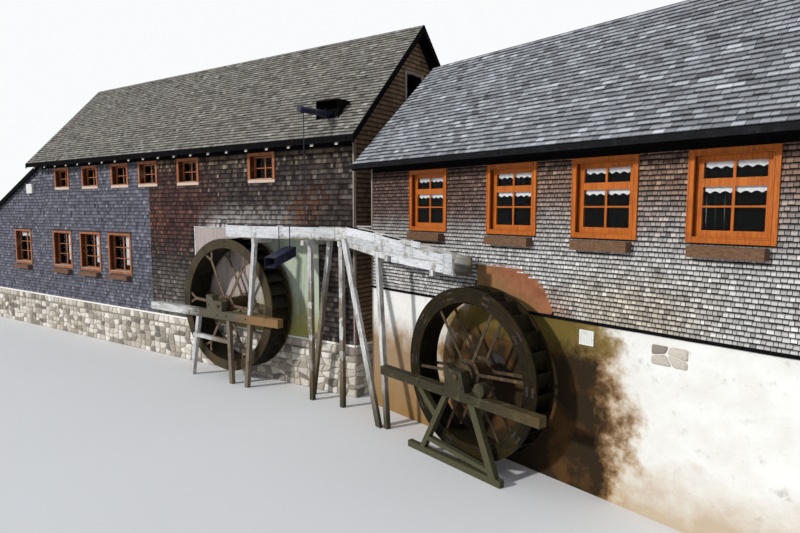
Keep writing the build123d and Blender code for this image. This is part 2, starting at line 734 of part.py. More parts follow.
with BuildPart() as hoist_bar:
    with BuildSketch(front(bar_end)):
        with Locations((hatch_x, bar_z)):
            Circle(bar_radius)
    extrude(amount=bar_end - bar_foot)
    with BuildSketch(across(hatch_x - 2 * bar_radius)):
        Polygon((-eave_reach, long_eave_z),
                (2 * bar_foot, long_eave_z + (2 * bar_foot + eave_reach) * long_pitch),
                (2 * bar_foot, long_floor_z), (-eave_reach, long_floor_z), align=None)
    extrude(amount=4 * bar_radius, mode=Mode.SUBTRACT)
    with BuildSketch(Plane.XY.offset(flume_top)):
        with Locations((hatch_x, lw_front + flume_board / 2)):
            Circle(rod_radius)
    extrude(amount=bar_z - flume_top)
hoist_bar.part.label = "hoist_bar"
export_step(hoist_bar.part, "parts/hoist_bar.step")

# Water wheels


def wheel_plane(origin, into):
    """Plane in a wheel's front face, its normal along the axle into the house."""
    return Plane(origin=origin, x_dir=Vector(into.Y, -into.X, 0), z_dir=into)


def wheel_shrouds(plane, radius, inner, breadth):
    with BuildPart() as rings:
        for start in (0, breadth - rim_thick):
            with BuildSketch(plane.offset(start)):
                Circle(radius)
                Circle(inner, mode=Mode.SUBTRACT)
            extrude(amount=rim_thick)
    return rings.part


def wheel_sole(plane, inner, breadth):
    with BuildPart() as drum:
        with BuildSketch(plane.offset(rim_thick)):
            Circle(inner + sole_thick)
            Circle(inner, mode=Mode.SUBTRACT)
        extrude(amount=breadth - 2 * rim_thick)
    return drum.part


def wheel_buckets(plane, radius, inner, breadth, buckets, way):
    """Elbow boards: a short radial foot on the sole, then a lip that slants the way the wheel turns."""
    root, lip = inner + sole_thick, radius - 8
    elbow = root + (lip - root) * 0.4
    slant = radians(360 / buckets) * 0.85
    with BuildPart() as boards:
        with BuildSketch(plane.offset(rim_thick)):
            with PolarLocations(0, buckets):
                Polygon((root, -way * board / 2), (elbow, -way * board / 2),
                        (lip * cos(slant), way * (lip * sin(slant) - board / 2)),
                        (lip * cos(slant) - 6, way * (lip * sin(slant) + board / 2)),
                        (elbow - 8, way * board / 2), (root, way * board / 2), align=None)
        extrude(amount=breadth - 2 * rim_thick)
    return boards.part


def wheel_arms(plane, inner, breadth, arms, first, fork, face):
    """Two spiders of flat bars. A fork splits the outer end of each bar in two."""
    stem = inner - fork
    half_bar = face / 2
    with BuildPart() as spider:
        for start in (rim_thick, breadth - rim_thick - arm_thick):
            with BuildSketch(plane.offset(start)):
                Circle(hub_radius)
                with PolarLocations(0, arms, start_angle=first):
                    with Locations((stem / 2, 0)):
                        Rectangle(stem, face)
                    if fork:
                        for spread in (-fork_spread, fork_spread):
                            Polygon((stem, -half_bar), (inner, spread - half_bar),
                                    (inner, spread + half_bar), (stem, half_bar), align=None)
                Circle(inner, mode=Mode.INTERSECT)
                Circle(axle_radius, mode=Mode.SUBTRACT)
            extrude(amount=arm_thick)
    return spider.part


def wheel_axle(plane, ahead, breadth, behind):
    """Log between the hubs with an iron pin at each end."""
    with BuildPart() as axle:
        with BuildSketch(plane.offset(-axle_ahead)):
            Circle(axle_radius)
        extrude(amount=breadth + 2 * axle_ahead)
        with BuildSketch(plane.offset(-ahead)):
            Circle(journal)
        extrude(amount=ahead + breadth + behind)
    return axle.part


lw_plane = wheel_plane((lw_x, lw_front, lw_z), Vector(0, 1, 0))
rw_plane = wheel_plane((*turned(rw_x, rw_front), rw_z), Vector(sin(a), cos(a), 0))
pin_ahead = beam_gap + beam_wide + 40
lw_behind = -lw_front - lw_breadth + wall + 20
rw_behind = -rw_front - rw_breadth + short_base_wall + 20

for name, part in (
    ("left_wheel_shrouds", wheel_shrouds(lw_plane, lw_radius, lw_inner, lw_breadth)),
    ("left_wheel_sole", wheel_sole(lw_plane, lw_inner, lw_breadth)),
    ("left_wheel_buckets", wheel_buckets(lw_plane, lw_radius, lw_inner, lw_breadth, lw_buckets, 1)),
    ("left_wheel_arms",
     wheel_arms(lw_plane, lw_inner, lw_breadth, lw_arms, lw_first_arm, lw_fork, lw_arm_face)),
    ("left_wheel_axle", wheel_axle(lw_plane, pin_ahead, lw_breadth, lw_behind)),
    ("right_wheel_shrouds", wheel_shrouds(rw_plane, rw_radius, rw_inner, rw_breadth)),
    ("right_wheel_sole", wheel_sole(rw_plane, rw_inner, rw_breadth)),
    ("right_wheel_buckets", wheel_buckets(rw_plane, rw_radius, rw_inner, rw_breadth, rw_buckets, -1)),
    ("right_wheel_arms",
     wheel_arms(rw_plane, rw_inner, rw_breadth, rw_arms, rw_first_arm, rw_fork, rw_arm_face)),
    ("right_wheel_axle", wheel_axle(rw_plane, pin_ahead, rw_breadth, rw_behind)),
):
    part.label = name
    export_step(part, f"parts/{name}.step")

# Bearings and the timber that carries them

chock_x, chock_radius, chock_long = rw_x + 580.0, 135.0, 170.0

with BuildPart() as bearing_blocks:
    with BuildSketch(front(lw_front - beam_gap)):
        Polygon((lw_x - 500, lb_top), (lw_x + 170, lb_top), (lw_x + 170, lw_z + 130),
                (lw_x - 190, lw_z + 150), (lw_x - 290, lw_z + 280), (lw_x - 520, lw_z + 300), align=None)
        with Locations((lw_x, lw_z)):
            Circle(journal + running, mode=Mode.SUBTRACT)
    extrude(amount=beam_wide)
    with BuildSketch(short_front(rw_front - beam_gap)):
        Polygon((rw_x - 340, rb_top), (rw_x + 240, rb_top), (rw_x + 130, rw_z + 110),
                (rw_x - 170, rw_z + 120), (rw_x - 300, rw_z + 200), align=None)
        with Locations((rw_x, rw_z)):
            Circle(journal + running, mode=Mode.SUBTRACT)
    extrude(amount=beam_wide)
    with BuildSketch(short_front(rw_front - beam_gap - 10)):
        with Locations((chock_x, rb_top + chock_radius)):
            Circle(chock_radius)
    extrude(amount=chock_long)
bearing_blocks.part.label = "bearing_blocks"
export_step(bearing_blocks.part, "parts/bearing_blocks.step")

with BuildPart() as wall_bearings:
    with BuildSketch(front()):
        with Locations((lw_x, lw_z)):
            Circle(axle_radius + 60)
            Circle(journal + running, mode=Mode.SUBTRACT)
    extrude(amount=-wall)
    with BuildSketch(short_front()):
        with Locations((rw_x, rw_z)):
            Circle(axle_radius + 60)
            Circle(journal + running, mode=Mode.SUBTRACT)
    extrude(amount=-short_base_wall)
wall_bearings.part.label = "wall_bearings"
export_step(wall_bearings.part, "parts/wall_bearings.step")

with BuildPart() as bearing_beams:
    with BuildSketch(front(lw_front - beam_gap)):
        Polygon((lw_x - lb_left, lb_top), (lw_x + lb_right, lb_top), (lw_x + lb_right, lb_top - lb_high),
                (lw_x - lb_left, lb_top - lb_high), align=None)
    extrude(amount=beam_wide)
    with BuildSketch(short_front(rw_front - beam_gap)):
        Polygon((rw_x - rb_left, rb_top), (rw_x + rb_right, rb_top), (rw_x + rb_right, rb_top - rb_high),
                (rw_x - rb_left, rb_top - rb_high), align=None)
    extrude(amount=beam_wide)
bearing_beams.part.label = "bearing_beams"
export_step(bearing_beams.part, "parts/bearing_beams.step")

leg_face = 120.0
lb_foot, rb_foot = lb_top - lb_high, rb_top - rb_high
sill_left, sill_right, sill_high = rw_x - 1510.0, rw_x + 1110.0, 135.0


def leg(x, top, width, foot_x, top_z):
    """Outline of a leg from top_z down to the ground, its left edge given from x."""
    return (x + top, top_z), (x + top + width, top_z), (x + foot_x + width, 0), (x + foot_x, 0)


with BuildPart() as trestles:
    with BuildSketch(front(lw_front - beam_gap - 30)):
        Polygon(*leg(lw_x, -1080, 120, -1470, lb_foot), align=None)
        Polygon(*leg(lw_x, 310, 120, 380, lb_foot), align=None)
        Polygon(*leg(lw_x, 1230, 120, 1035, lb_foot), align=None)
        Polygon((lw_x - 1260, 1230), (lw_x + 440, 1180), (lw_x + 440, 1290), (lw_x - 1260, 1340),
                align=None)
    extrude(amount=leg_face)
    with BuildSketch(short_front(rw_front - beam_gap - 30)):
        Polygon(*leg(rw_x, -435, 130, -1190, rb_foot), align=None)
        Polygon(*leg(rw_x, 250, 180, 880, rb_foot), align=None)
        Polygon((rw_x - 1240, rb_foot), (rw_x - 1080, rb_foot), (rw_x - 640, 1010), (rw_x - 720, 890),
                align=None)
        Polygon((rw_x - 960, 330), (rw_x + 840, 180), (rw_x + 840, 270), (rw_x - 960, 420),
                align=None)
        Polygon((sill_left, 0), (sill_right, 0), (sill_right, sill_high), (sill_left, sill_high),
                align=None)
    extrude(amount=leg_face)
trestles.part.label = "trestles"
export_step(trestles.part, "parts/trestles.step")
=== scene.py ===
import math
import random

import bmesh
import bpy
from mathutils import Matrix, Vector


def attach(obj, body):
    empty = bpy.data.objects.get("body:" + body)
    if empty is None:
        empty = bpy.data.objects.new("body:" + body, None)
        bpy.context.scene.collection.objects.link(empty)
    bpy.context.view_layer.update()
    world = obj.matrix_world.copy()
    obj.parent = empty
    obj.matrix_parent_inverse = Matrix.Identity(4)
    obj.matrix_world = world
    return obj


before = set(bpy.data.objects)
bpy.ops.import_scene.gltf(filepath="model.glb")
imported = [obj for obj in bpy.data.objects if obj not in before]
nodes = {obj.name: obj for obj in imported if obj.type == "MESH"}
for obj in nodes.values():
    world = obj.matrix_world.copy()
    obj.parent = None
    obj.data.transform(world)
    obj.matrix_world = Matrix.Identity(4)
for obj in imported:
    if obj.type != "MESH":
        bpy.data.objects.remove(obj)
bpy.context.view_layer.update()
scene = bpy.context.scene
print("frame loaded with", len(nodes), "nodes")

# The two houses in metres, the short one turned about its front left corner
longHouse = {
    "length": 17.05, "depth": 5.68, "plinthTop": 1.44, "footHigh": 1.12, "footProud": 0.08,
    "eaveZ": 7.01, "ridgeZ": 10.5, "reach": 0.5, "verge": 0.34,
    "leanLength": 5.5, "leanTop": 7.08, "leanSlope": 0.41, "leanReach": 0.45, "leanVerge": 0.12,
    "lowWindows": (-15.63, -13.45, -11.36, -19.13), "lowSill": 2.69, "lowHead": 4.24, "lowWide": 1.54,
    "highWindows": (-15.42, -13.25, -11.16, -9.37, -7.09, -3.56), "highSill": 5.915, "highHead": 6.8,
    "highWide": 1.15,
}
shortHouse = {
    "corner": (0.706, -0.167), "turn": 15.92, "length": 12.3, "depth": 4.6, "baseTop": 3.15,
    "eaveZ": 6.24, "ridgeZ": 9.04, "reach": 0.5, "verge": 0.16,
    "windows": (2.16, 4.62, 6.67, 8.74, 10.8), "sill": 4.63, "head": 6.03, "wide": 1.26,
}
roofThick = 0.105
turnShort = -math.radians(shortHouse["turn"])
longPlace = Matrix.Identity(4)
shortPlace = Matrix.Translation((*shortHouse["corner"], 0)) @ Matrix.Rotation(turnShort, 4, "Z")

leftWheel = {"centre": (-4.24, -0.916, 2.28), "turn": 0.0, "radius": 1.98, "inner": 1.70, "broad": 0.78,
             "felloes": 12, "arms": 6, "firstArm": -3.0}
rightWheel = {"centre": tuple(shortPlace @ Vector((4.31, -0.893, 1.886))), "turn": turnShort,
              "radius": 1.72, "inner": 1.417, "broad": 0.52, "felloes": 10, "arms": 6, "firstArm": 5.0}


# Shader helpers, which add to the tree being built
shading = {}


def link(socket, target):
    shading["tree"].links.new(socket, target)


def feed(node, given):
    for key, value in given.items():
        if isinstance(value, bpy.types.NodeSocket):
            link(value, node.inputs[key])
        else:
            node.inputs[key].default_value = value
    return node


def addNode(kind, given, **settings):
    node = shading["tree"].nodes.new(kind)
    for key, value in settings.items():
        setattr(node, key, value)
    return feed(node, given)


def calc(operation, a, b=0.5, c=0.5, clamp=False):
    return addNode("ShaderNodeMath", {0: a, 1: b, 2: c}, operation=operation, use_clamp=clamp).outputs[0]


def times(a, b):
    return calc("MULTIPLY", a, b)


def plus(a, b):
    return calc("ADD", a, b)


def minus(a, b):
    return calc("SUBTRACT", a, b)


def timesPlus(a, b, c):
    return calc("MULTIPLY_ADD", a, b, c)


def distanceOf(a, b):
    return calc("SQRT", plus(times(a, a), times(b, b)))


def mixColour(amount, low, high, mode="MIX"):
    low, high = ((*colour, 1) if isinstance(colour, tuple) else colour for colour in (low, high))
    return addNode("ShaderNodeMix", {0: amount, 6: low, 7: high}, data_type="RGBA", blend_type=mode).outputs[2]


def grey(value):
    return addNode("ShaderNodeCombineColor", {0: value, 1: value, 2: value}).outputs[0]


def remap(value, start, end, low=0.0, high=1.0):
    given = {"Value": value, "From Min": start, "From Max": end, "To Min": low, "To Max": high}
    return addNode("ShaderNodeMapRange", given, clamp=True).outputs["Result"]


def noiseAt(vector, scale, detail=3.0, roughness=0.55, distortion=0.0):
    given = {"Vector": vector, "Scale": scale, "Detail": detail, "Roughness": roughness,
             "Distortion": distortion}
    return addNode("ShaderNodeTexNoise", given).outputs["Fac"]


def patchesAt(vector, scale, detail, roughness):
    return minus(noiseAt(vector, scale, detail, roughness), 0.5)


def scaled(vector, by):
    return addNode("ShaderNodeVectorMath", {0: vector, 1: by}, operation="MULTIPLY").outputs[0]


def combine(x, y, z):
    return addNode("ShaderNodeCombineXYZ", {"X": x, "Y": y, "Z": z}).outputs[0]


def parts(vector):
    return addNode("ShaderNodeSeparateXYZ", {"Vector": vector}).outputs


def ownValue(name):
    return addNode("ShaderNodeAttribute", {}, attribute_name=name).outputs["Fac"]


def rampOf(value, stops):
    ramp = addNode("ShaderNodeValToRGB", {"Fac": value})
    band = ramp.color_ramp
    while len(band.elements) < len(stops):
        band.elements.new(0.5)
    for element, (place, *colour) in zip(band.elements, stops):
        element.position = place
        element.color = (*colour, 1)
    return ramp.outputs["Color"]


def startGroup(name, given, wanted):
    group = bpy.data.node_groups.new(name, "ShaderNodeTree")
    for label, value in {"Vector": None, **given}.items():
        kind = "NodeSocketFloat" if isinstance(value, float) else "NodeSocketVector"
        socket = group.interface.new_socket(label, in_out="INPUT", socket_type=kind)
        if value is not None:
            socket.default_value = value
    for label in wanted:
        group.interface.new_socket(label, in_out="OUTPUT", socket_type="NodeSocketFloat")
    shading["tree"] = group
    return group, group.nodes.new("NodeGroupInput").outputs, group.nodes.new("NodeGroupOutput").inputs


def useGroup(group, vector, **given):
    return addNode("ShaderNodeGroup", {"Vector": vector, **given}, node_tree=group).outputs


# Effects shared by several materials

woodGrain, given, wanted = startGroup("woodGrain", {"Stretch": (30.0, 30.0, 2.5)}, ["Shade", "Height"])
stretched = scaled(given["Vector"], given["Stretch"])
broadGrain = noiseAt(stretched, 1.0, 4.0, 0.6, 0.4)
fineGrain = noiseAt(stretched, 3.7, 3.0, 0.7)
bothGrains = timesPlus(fineGrain, 0.4, times(broadGrain, 0.6))
link(remap(bothGrains, 0.34, 0.66), wanted["Shade"])
link(bothGrains, wanted["Height"])


def overEdge(noise, amount, soft):
    edge = timesPlus(amount, -0.3, 0.65)
    return calc("DIVIDE", minus(noise, edge), soft, clamp=True)


weatherPatch, given, wanted = startGroup("weatherPatch", {"Size": 0.5, "Amount": 0.5, "Soft": 0.08}, ["Mask"])
patchNoise = noiseAt(given["Vector"], calc("DIVIDE", 1.0, given["Size"]), 5.0, 0.6)
link(overEdge(patchNoise, given["Amount"], given["Soft"]), wanted["Mask"])

runStreak, given, wanted = startGroup("runStreak", {"Wide": 0.06, "Long": 1.2, "Amount": 0.5}, ["Mask"])
across, down = calc("DIVIDE", 1.0, given["Wide"]), calc("DIVIDE", 1.0, given["Long"])
streakNoise = noiseAt(scaled(given["Vector"], combine(across, across, down)), 1.0, 3.0, 0.6)
link(overEdge(streakNoise, given["Amount"], 0.15), wanted["Mask"])

felloeRing, given, wanted = startGroup("felloeRing", {"Count": 12.0}, ["Shade", "Joint", "Grain"])
ringPart = parts(given["Vector"])
ringAngle = calc("ARCTAN2", ringPart["Z"], ringPart["X"])
ringRadius = distanceOf(ringPart["X"], ringPart["Z"])
ringTurn = times(timesPlus(ringAngle, 0.5 / math.pi, 0.5), given["Count"])
ringShare = calc("FRACT", ringTurn)
toJoint = calc("MINIMUM", ringShare, minus(1.0, ringShare))
jointAway = calc("DIVIDE", times(times(toJoint, ringRadius), 2 * math.pi), given["Count"])
link(remap(jointAway, 0.004, 0.012, 1.0, 0.0), wanted["Joint"])
ringIndex = calc("FLOOR", ringTurn)
ownShade = addNode("ShaderNodeTexWhiteNoise", {"W": ringIndex}, noise_dimensions="1D").outputs["Value"]
link(ownShade, wanted["Shade"])
ringFlow = combine(times(ringRadius, 45.0), times(ringPart["Y"], 45.0),
                   timesPlus(ringAngle, 4.0, times(ringIndex, 7.3)))
link(noiseAt(ringFlow, 1.0, 4.0, 0.62), wanted["Grain"])
print("shared effects made")


# Materials

looks = {}
longFrame, shortFrame = ((0, 0, 0), 0.0), ((*shortHouse["corner"], 0), turnShort)


def startLook(name, place=longFrame, shine=0.15):
    look = bpy.data.materials.new(name)
    look.use_nodes = True
    looks[name] = look
    shading.update(tree=look.node_tree, shader=look.node_tree.nodes["Principled BSDF"])
    feed(shading["shader"], {"Specular IOR Level": shine})
    objectPlace = addNode("ShaderNodeTexCoord", {}).outputs["Object"]
    given = {"Vector": objectPlace, "Location": place[0], "Rotation": (0, 0, place[1])}
    return addNode("ShaderNodeMapping", given, vector_type="TEXTURE").outputs[0]


def finishLook(colour, roughness, height, deep):
    bump = addNode("ShaderNodeBump", {"Height": height, "Distance": deep}).outputs[0]
    feed(shading["shader"], {"Base Color": colour, "Roughness": roughness, "Normal": bump})


def washOf(colour, size, ragged, strength, *limits, flecks=0.0):
    # Colour over an area between limits along the axes, its edge ragged in steps of a size
    return {"colour": colour, "size": size, "ragged": ragged, "strength": strength, "limits": limits,
            "flecks": flecks}


def washMask(here, wash, tone=0.5):
    place = parts(here)
    drift = times(patchesAt(here, 1 / wash["size"], 4.0, 0.6), wash["ragged"])
    drift = timesPlus(minus(tone, 0.5), wash["flecks"], drift)
    mask = wash["strength"]
    for axis, start, end in wash["limits"]:
        mask = times(remap(plus(place[axis], drift), start, end), mask)
    return mask


def shingleLook(name, place, tones, washes, rowShade, shadeFrom=0.55, grainDeep=0.004):
    here = startLook(name, place)
    tone = ownValue("tone")
    colour = rampOf(tone, tones)
    liveliness = timesPlus(times(tone, tone), 2.0, 0.35)
    for wash in washes:
        toned = mixColour(1.0, wash["colour"], grey(liveliness), "MULTIPLY")
        colour = mixColour(washMask(here, wash, tone), colour, toned)
    grain = useGroup(woodGrain, here, Stretch=(55.0, 55.0, 5.0))
    # Painted shade under the butts of the row above: each shingle darker towards its covered top
    paintedRowShade = remap(ownValue("covered"), shadeFrom, shadeFrom + 0.33, 1.0, rowShade)
    dark = times(timesPlus(grain["Shade"], 0.5, 0.72), paintedRowShade)
    finishLook(mixColour(1.0, colour, grey(dark), "MULTIPLY"), 0.85, grain["Height"], grainDeep)


def boardLook(name, tones, stretch, place=longFrame, roughness=0.75, deep=0.003, washes=(), dirt=None,
              byTone=False, shine=0.15):
    # Sawn or planed timber: grain between the tones, washes over it, dirt in patches
    here = startLook(name, place, shine)
    grain = useGroup(woodGrain, here, Stretch=stretch)
    shade = grain["Shade"]
    if byTone:
        shade = timesPlus(ownValue("tone"), 0.45, times(shade, 0.55))
    colour = rampOf(shade, tones)
    for wash in washes:
        colour = mixColour(washMask(here, wash), colour, wash["colour"])
    if dirt:
        dirtColour, size, amount, soft, strength = dirt
        mask = useGroup(weatherPatch, here, Size=size, Amount=amount, Soft=soft)["Mask"]
        colour = mixColour(times(mask, strength), colour, dirtColour)
    finishLook(colour, roughness, grain["Height"], deep)


shingleLook("slateShingle", longFrame, [
    (0.0, 0.035, 0.035, 0.046), (0.35, 0.085, 0.084, 0.104), (0.7, 0.15, 0.148, 0.18), (1.0, 0.26, 0.26, 0.31)],
    [washOf((0.17, 0.165, 0.17), 0.6, 0.5, 0.4, ("Z", 6.0, 6.9), flecks=0.6)], rowShade=0.4)
onlyFront = ("Y", 3.6, 3.1)
shingleLook("brownShingle", longFrame, [
    (0.0, 0.008, 0.006, 0.006), (0.3, 0.024, 0.018, 0.016), (0.55, 0.054, 0.040, 0.034),
    (0.75, 0.085, 0.067, 0.058), (0.92, 0.135, 0.11, 0.095), (1.0, 0.22, 0.18, 0.15)], [
    washOf((0.075, 0.033, 0.026), 0.4, 1.3, 0.85, ("X", -5.0, -6.6), ("Z", 3.4, 4.3), onlyFront, flecks=0.6),
    washOf((0.105, 0.031, 0.014), 0.4, 0.9, 0.9, ("X", -4.4, -5.6), ("Z", 5.0, 5.8), ("Z", 7.1, 6.6),
           ("Y", 1.0, 1.25), onlyFront, flecks=4.0),
    washOf((0.14, 0.105, 0.068), 0.5, 0.5, 0.7, ("Z", 6.3, 6.75), ("X", -9.6, -8.6), flecks=0.6),
    washOf((0.44, 0.41, 0.38), 0.35, 0.6, 0.75, ("Z", 5.2, 4.9), ("X", -6.8, -5.4), ("X", -1.9, -2.8),
           onlyFront, flecks=1.1),
    washOf((0.15, 0.06, 0.025), 0.4, 0.9, 0.6, ("X", -2.6, -2.0), ("X", -0.9, -1.3), ("Z", 4.7, 5.1),
           ("Z", 5.8, 5.4), onlyFront, flecks=1.4),
    washOf((0.13, 0.115, 0.10), 0.5, 0.8, 0.7, ("Z", 3.5, 2.5), ("X", -6.4, -7.4), flecks=1.2)], rowShade=0.15)
shingleLook("silverShingle", shortFrame, [
    (0.0, 0.12, 0.11, 0.10), (0.3, 0.36, 0.345, 0.325), (0.6, 0.56, 0.545, 0.52), (1.0, 0.88, 0.865, 0.84)], [
    washOf((0.48, 0.385, 0.26), 0.7, 0.8, 0.6, ("Z", 4.3, 3.7), ("X", 5.6, 6.6), ("X", 9.0, 7.8), onlyFront,
           flecks=0.3),
    washOf((0.33, 0.285, 0.26), 0.6, 0.9, 0.85, ("Z", 4.2, 4.95), flecks=0.6),
    washOf((0.25, 0.142, 0.09), 0.6, 0.9, 0.85, ("Z", 4.8, 5.6), flecks=0.6),
    washOf((0.12, 0.072, 0.057), 0.6, 0.9, 0.88, ("Z", 4.5, 5.2), ("X", 6.0, 3.0), flecks=0.6),
    washOf((0.36, 0.15, 0.05), 0.2, 0.5, 0.6, ("Z", 3.75, 3.3), ("X", 4.9, 5.4), ("X", 6.3, 5.8), onlyFront,
           flecks=0.3)],
    rowShade=0.05, shadeFrom=0.46)
shingleLook("gableShingle", longFrame, [
    (0.0, 0.11, 0.065, 0.036), (0.5, 0.20, 0.125, 0.07), (1.0, 0.31, 0.21, 0.125)], [], rowShade=0.12)
shingleLook("roofShake", longFrame, [
    (0.0, 0.095, 0.087, 0.071), (0.4, 0.225, 0.210, 0.175), (0.7, 0.32, 0.302, 0.257), (1.0, 0.47, 0.45, 0.39)],
    [], rowShade=0.16, shadeFrom=0.5, grainDeep=0.010)
shingleLook("shortRoofShake", shortFrame, [
    (0.0, 0.11, 0.113, 0.121), (0.35, 0.25, 0.256, 0.27), (0.65, 0.39, 0.40, 0.42), (1.0, 0.64, 0.66, 0.69)],
    [], rowShade=0.13, shadeFrom=0.5, grainDeep=0.010)

# Grain that runs along X, such as a sill's, or up and down
alongX, upright = (3.0, 40.0, 40.0), (45.0, 45.0, 3.0)
boardLook("wallBacking", [(0.0, 0.006, 0.005, 0.004), (1.0, 0.018, 0.014, 0.012)], (3.0, 30.0, 30.0))
# Near-black boards: tar on the bargeboards and drip boards, painted shade on the roof's edges under the eaves,
# on the boards under the eaves and in the open hatch
boardLook("tarAndShadeBoard", [(0.0, 0.002, 0.002, 0.0025), (1.0, 0.009, 0.0085, 0.009)], (25.0, 25.0, 4.0),
          roughness=0.9, shine=0.02)
# Pale end faces of the rafter tails: painted highlight where the sun catches them under the dark eave
boardLook("rafterWood", [(0.0, 0.10, 0.075, 0.055), (1.0, 0.36, 0.31, 0.26)], (40.0, 3.0, 40.0),
          washes=[washOf((0.62, 0.58, 0.54), 0.3, 0.0, 0.9, ("Y", -0.42, -0.435))])


# Painted shade in the window reveals, between the casing and the sash
def revealShade(*limits):
    return washOf((0.035, 0.010, 0.004), 0.3, 0.0, 0.85, *limits)


boardLook("varnishedCasing", [(0.0, 0.24, 0.055, 0.008), (0.5, 0.42, 0.105, 0.012), (1.0, 0.58, 0.17, 0.025)],
          upright, shortFrame, roughness=0.38, deep=0.0012, dirt=((0.17, 0.045, 0.015), 0.5, 0.25, 0.12, 0.5),
          washes=[revealShade(("Y", -0.012, 0.0), ("Y", 0.056, 0.052)),
                  revealShade(("Y", 4.612, 4.60), ("Y", 4.544, 4.548))])
boardLook("weatheredCasing", [(0.0, 0.16, 0.045, 0.018), (0.5, 0.30, 0.095, 0.035), (1.0, 0.50, 0.22, 0.10)],
          upright, roughness=0.5, deep=0.0015, dirt=((0.36, 0.24, 0.16), 0.4, 0.35, 0.12, 0.55),
          washes=[washOf((0.62, 0.50, 0.40), 0.3, 0.0, 0.85, ("Z", 5.90, 5.91), ("Z", 6.01, 5.99)),
                  revealShade(("Y", -0.012, 0.01), ("Y", 0.14, 0.13)),
                  revealShade(("Y", 5.692, 5.67), ("Y", 5.54, 5.55))])
boardLook("paleSill", [(0.0, 0.36, 0.24, 0.16), (1.0, 0.66, 0.50, 0.38)], alongX, roughness=0.6)
boardLook("floorBoard", [(0.0, 0.11, 0.07, 0.04), (1.0, 0.22, 0.15, 0.09)], (2.0, 25.0, 25.0))
boardLook("flowerBoxWood", [(0.0, 0.07, 0.035, 0.018), (1.0, 0.20, 0.11, 0.06)], alongX)

# Grey timber of the flume and what carries it
greyTones = [(0.0, 0.20, 0.19, 0.17), (0.4, 0.42, 0.41, 0.39), (0.7, 0.60, 0.595, 0.58),
             (1.0, 0.78, 0.775, 0.77)]
flumeGrain = (2.2, 22.0, 26.0)
boardLook("flumeBoard", greyTones, flumeGrain, deep=0.004, dirt=((0.16, 0.13, 0.08), 0.35, 0.28, 0.10, 0.6),
          washes=[washOf((0.10, 0.085, 0.035), 0.15, 0.16, 0.85, ("Z", 4.40, 4.33))])
boardLook("flumeBoardTurned", greyTones, flumeGrain, shortFrame, deep=0.004,
          dirt=((0.16, 0.13, 0.08), 0.35, 0.30, 0.10, 0.6),
          washes=[washOf((0.085, 0.062, 0.03), 0.15, 0.15, 0.92, ("X", 3.2, 3.9), ("Y", -0.80, -0.78))])
boardLook("cornerBoardWood", [(0.0, 0.12, 0.09, 0.065), (1.0, 0.36, 0.31, 0.26)], (30.0, 30.0, 2.5),
          byTone=True)
boardLook("paleBoard", [(0.0, 0.13, 0.128, 0.12), (0.3, 0.40, 0.40, 0.395), (0.65, 0.58, 0.58, 0.58),
                        (1.0, 0.78, 0.78, 0.79)],
          flumeGrain, deep=0.005, byTone=True, dirt=((0.17, 0.14, 0.09), 0.30, 0.25, 0.08, 0.65),
          washes=[washOf((0.09, 0.075, 0.03), 0.15, 0.22, 0.85, ("Z", 4.42, 4.34), ("X", -2.4, -1.4),
                         ("X", 0.3, 0.1))])
boardLook("flumePost", greyTones, (24.0, 24.0, 2.0), deep=0.004, dirt=((0.10, 0.07, 0.04), 0.5, 0.3, 0.15, 0.6),
          washes=[washOf((0.12, 0.078, 0.035), 0.4, 1.2, 0.8, ("Z", 3.9, 2.7), ("Y", -1.0, -0.95)),
                  washOf((0.12, 0.088, 0.05), 0.3, 0.8, 0.75, ("Z", 1.9, 0.7)),
                  washOf((0.04, 0.036, 0.016), 0.3, 0.6, 0.85, ("Z", 1.0, 0.2))])
boardLook("bearingBeam", greyTones, (2.0, 26.0, 26.0), deep=0.004,
          dirt=((0.09, 0.08, 0.03), 0.25, 0.35, 0.1, 0.6),
          washes=[washOf((0.055, 0.042, 0.018), 0.25, 0.9, 0.92, ("X", -6.0, -5.2)),
                  washOf((0.25, 0.135, 0.05), 0.25, 0.7, 0.8, ("X", -3.6, -2.7), ("X", 0.5, -0.5)),
                  washOf((0.03, 0.024, 0.012), 0.3, 0.5, 0.92, ("X", 0.5, 1.5)),
                  washOf((0.10, 0.065, 0.022), 0.25, 1.2, 0.6, ("X", 5.2, 6.6))])
boardLook("trestleLeg", greyTones, (26.0, 26.0, 2.0), deep=0.004,
          dirt=((0.08, 0.06, 0.03), 0.3, 0.35, 0.1, 0.6),
          washes=[washOf((0.11, 0.072, 0.034), 0.4, 0.5, 0.85, ("X", -4.9, -4.3)),
                  washOf((0.05, 0.05, 0.022), 0.3, 0.5, 0.9, ("X", 0.5, 1.5))])
boardLook("wetLog", [(0.0, 0.025, 0.017, 0.010), (1.0, 0.12, 0.075, 0.035)], (30.0, 2.0, 30.0), roughness=0.45)


def wheelLook(name, wheel, tones, mossColour, shine=0.15):
    here = startLook(name, (wheel["centre"], wheel["turn"]), shine)
    ring = useGroup(felloeRing, here, Count=float(wheel["felloes"]))
    shade = timesPlus(ring["Shade"], 0.3, times(remap(ring["Grain"], 0.3, 0.7), 0.7))
    moss = useGroup(weatherPatch, here, Size=0.35, Amount=0.5, Soft=0.1)["Mask"]
    colour = mixColour(times(moss, 0.6), rampOf(shade, tones), mossColour)
    finishLook(mixColour(ring["Joint"], colour, (0.006, 0.005, 0.004)),
               remap(ring["Grain"], 0.35, 0.65, 0.62, 0.34), minus(ring["Grain"], ring["Joint"]), 0.005)
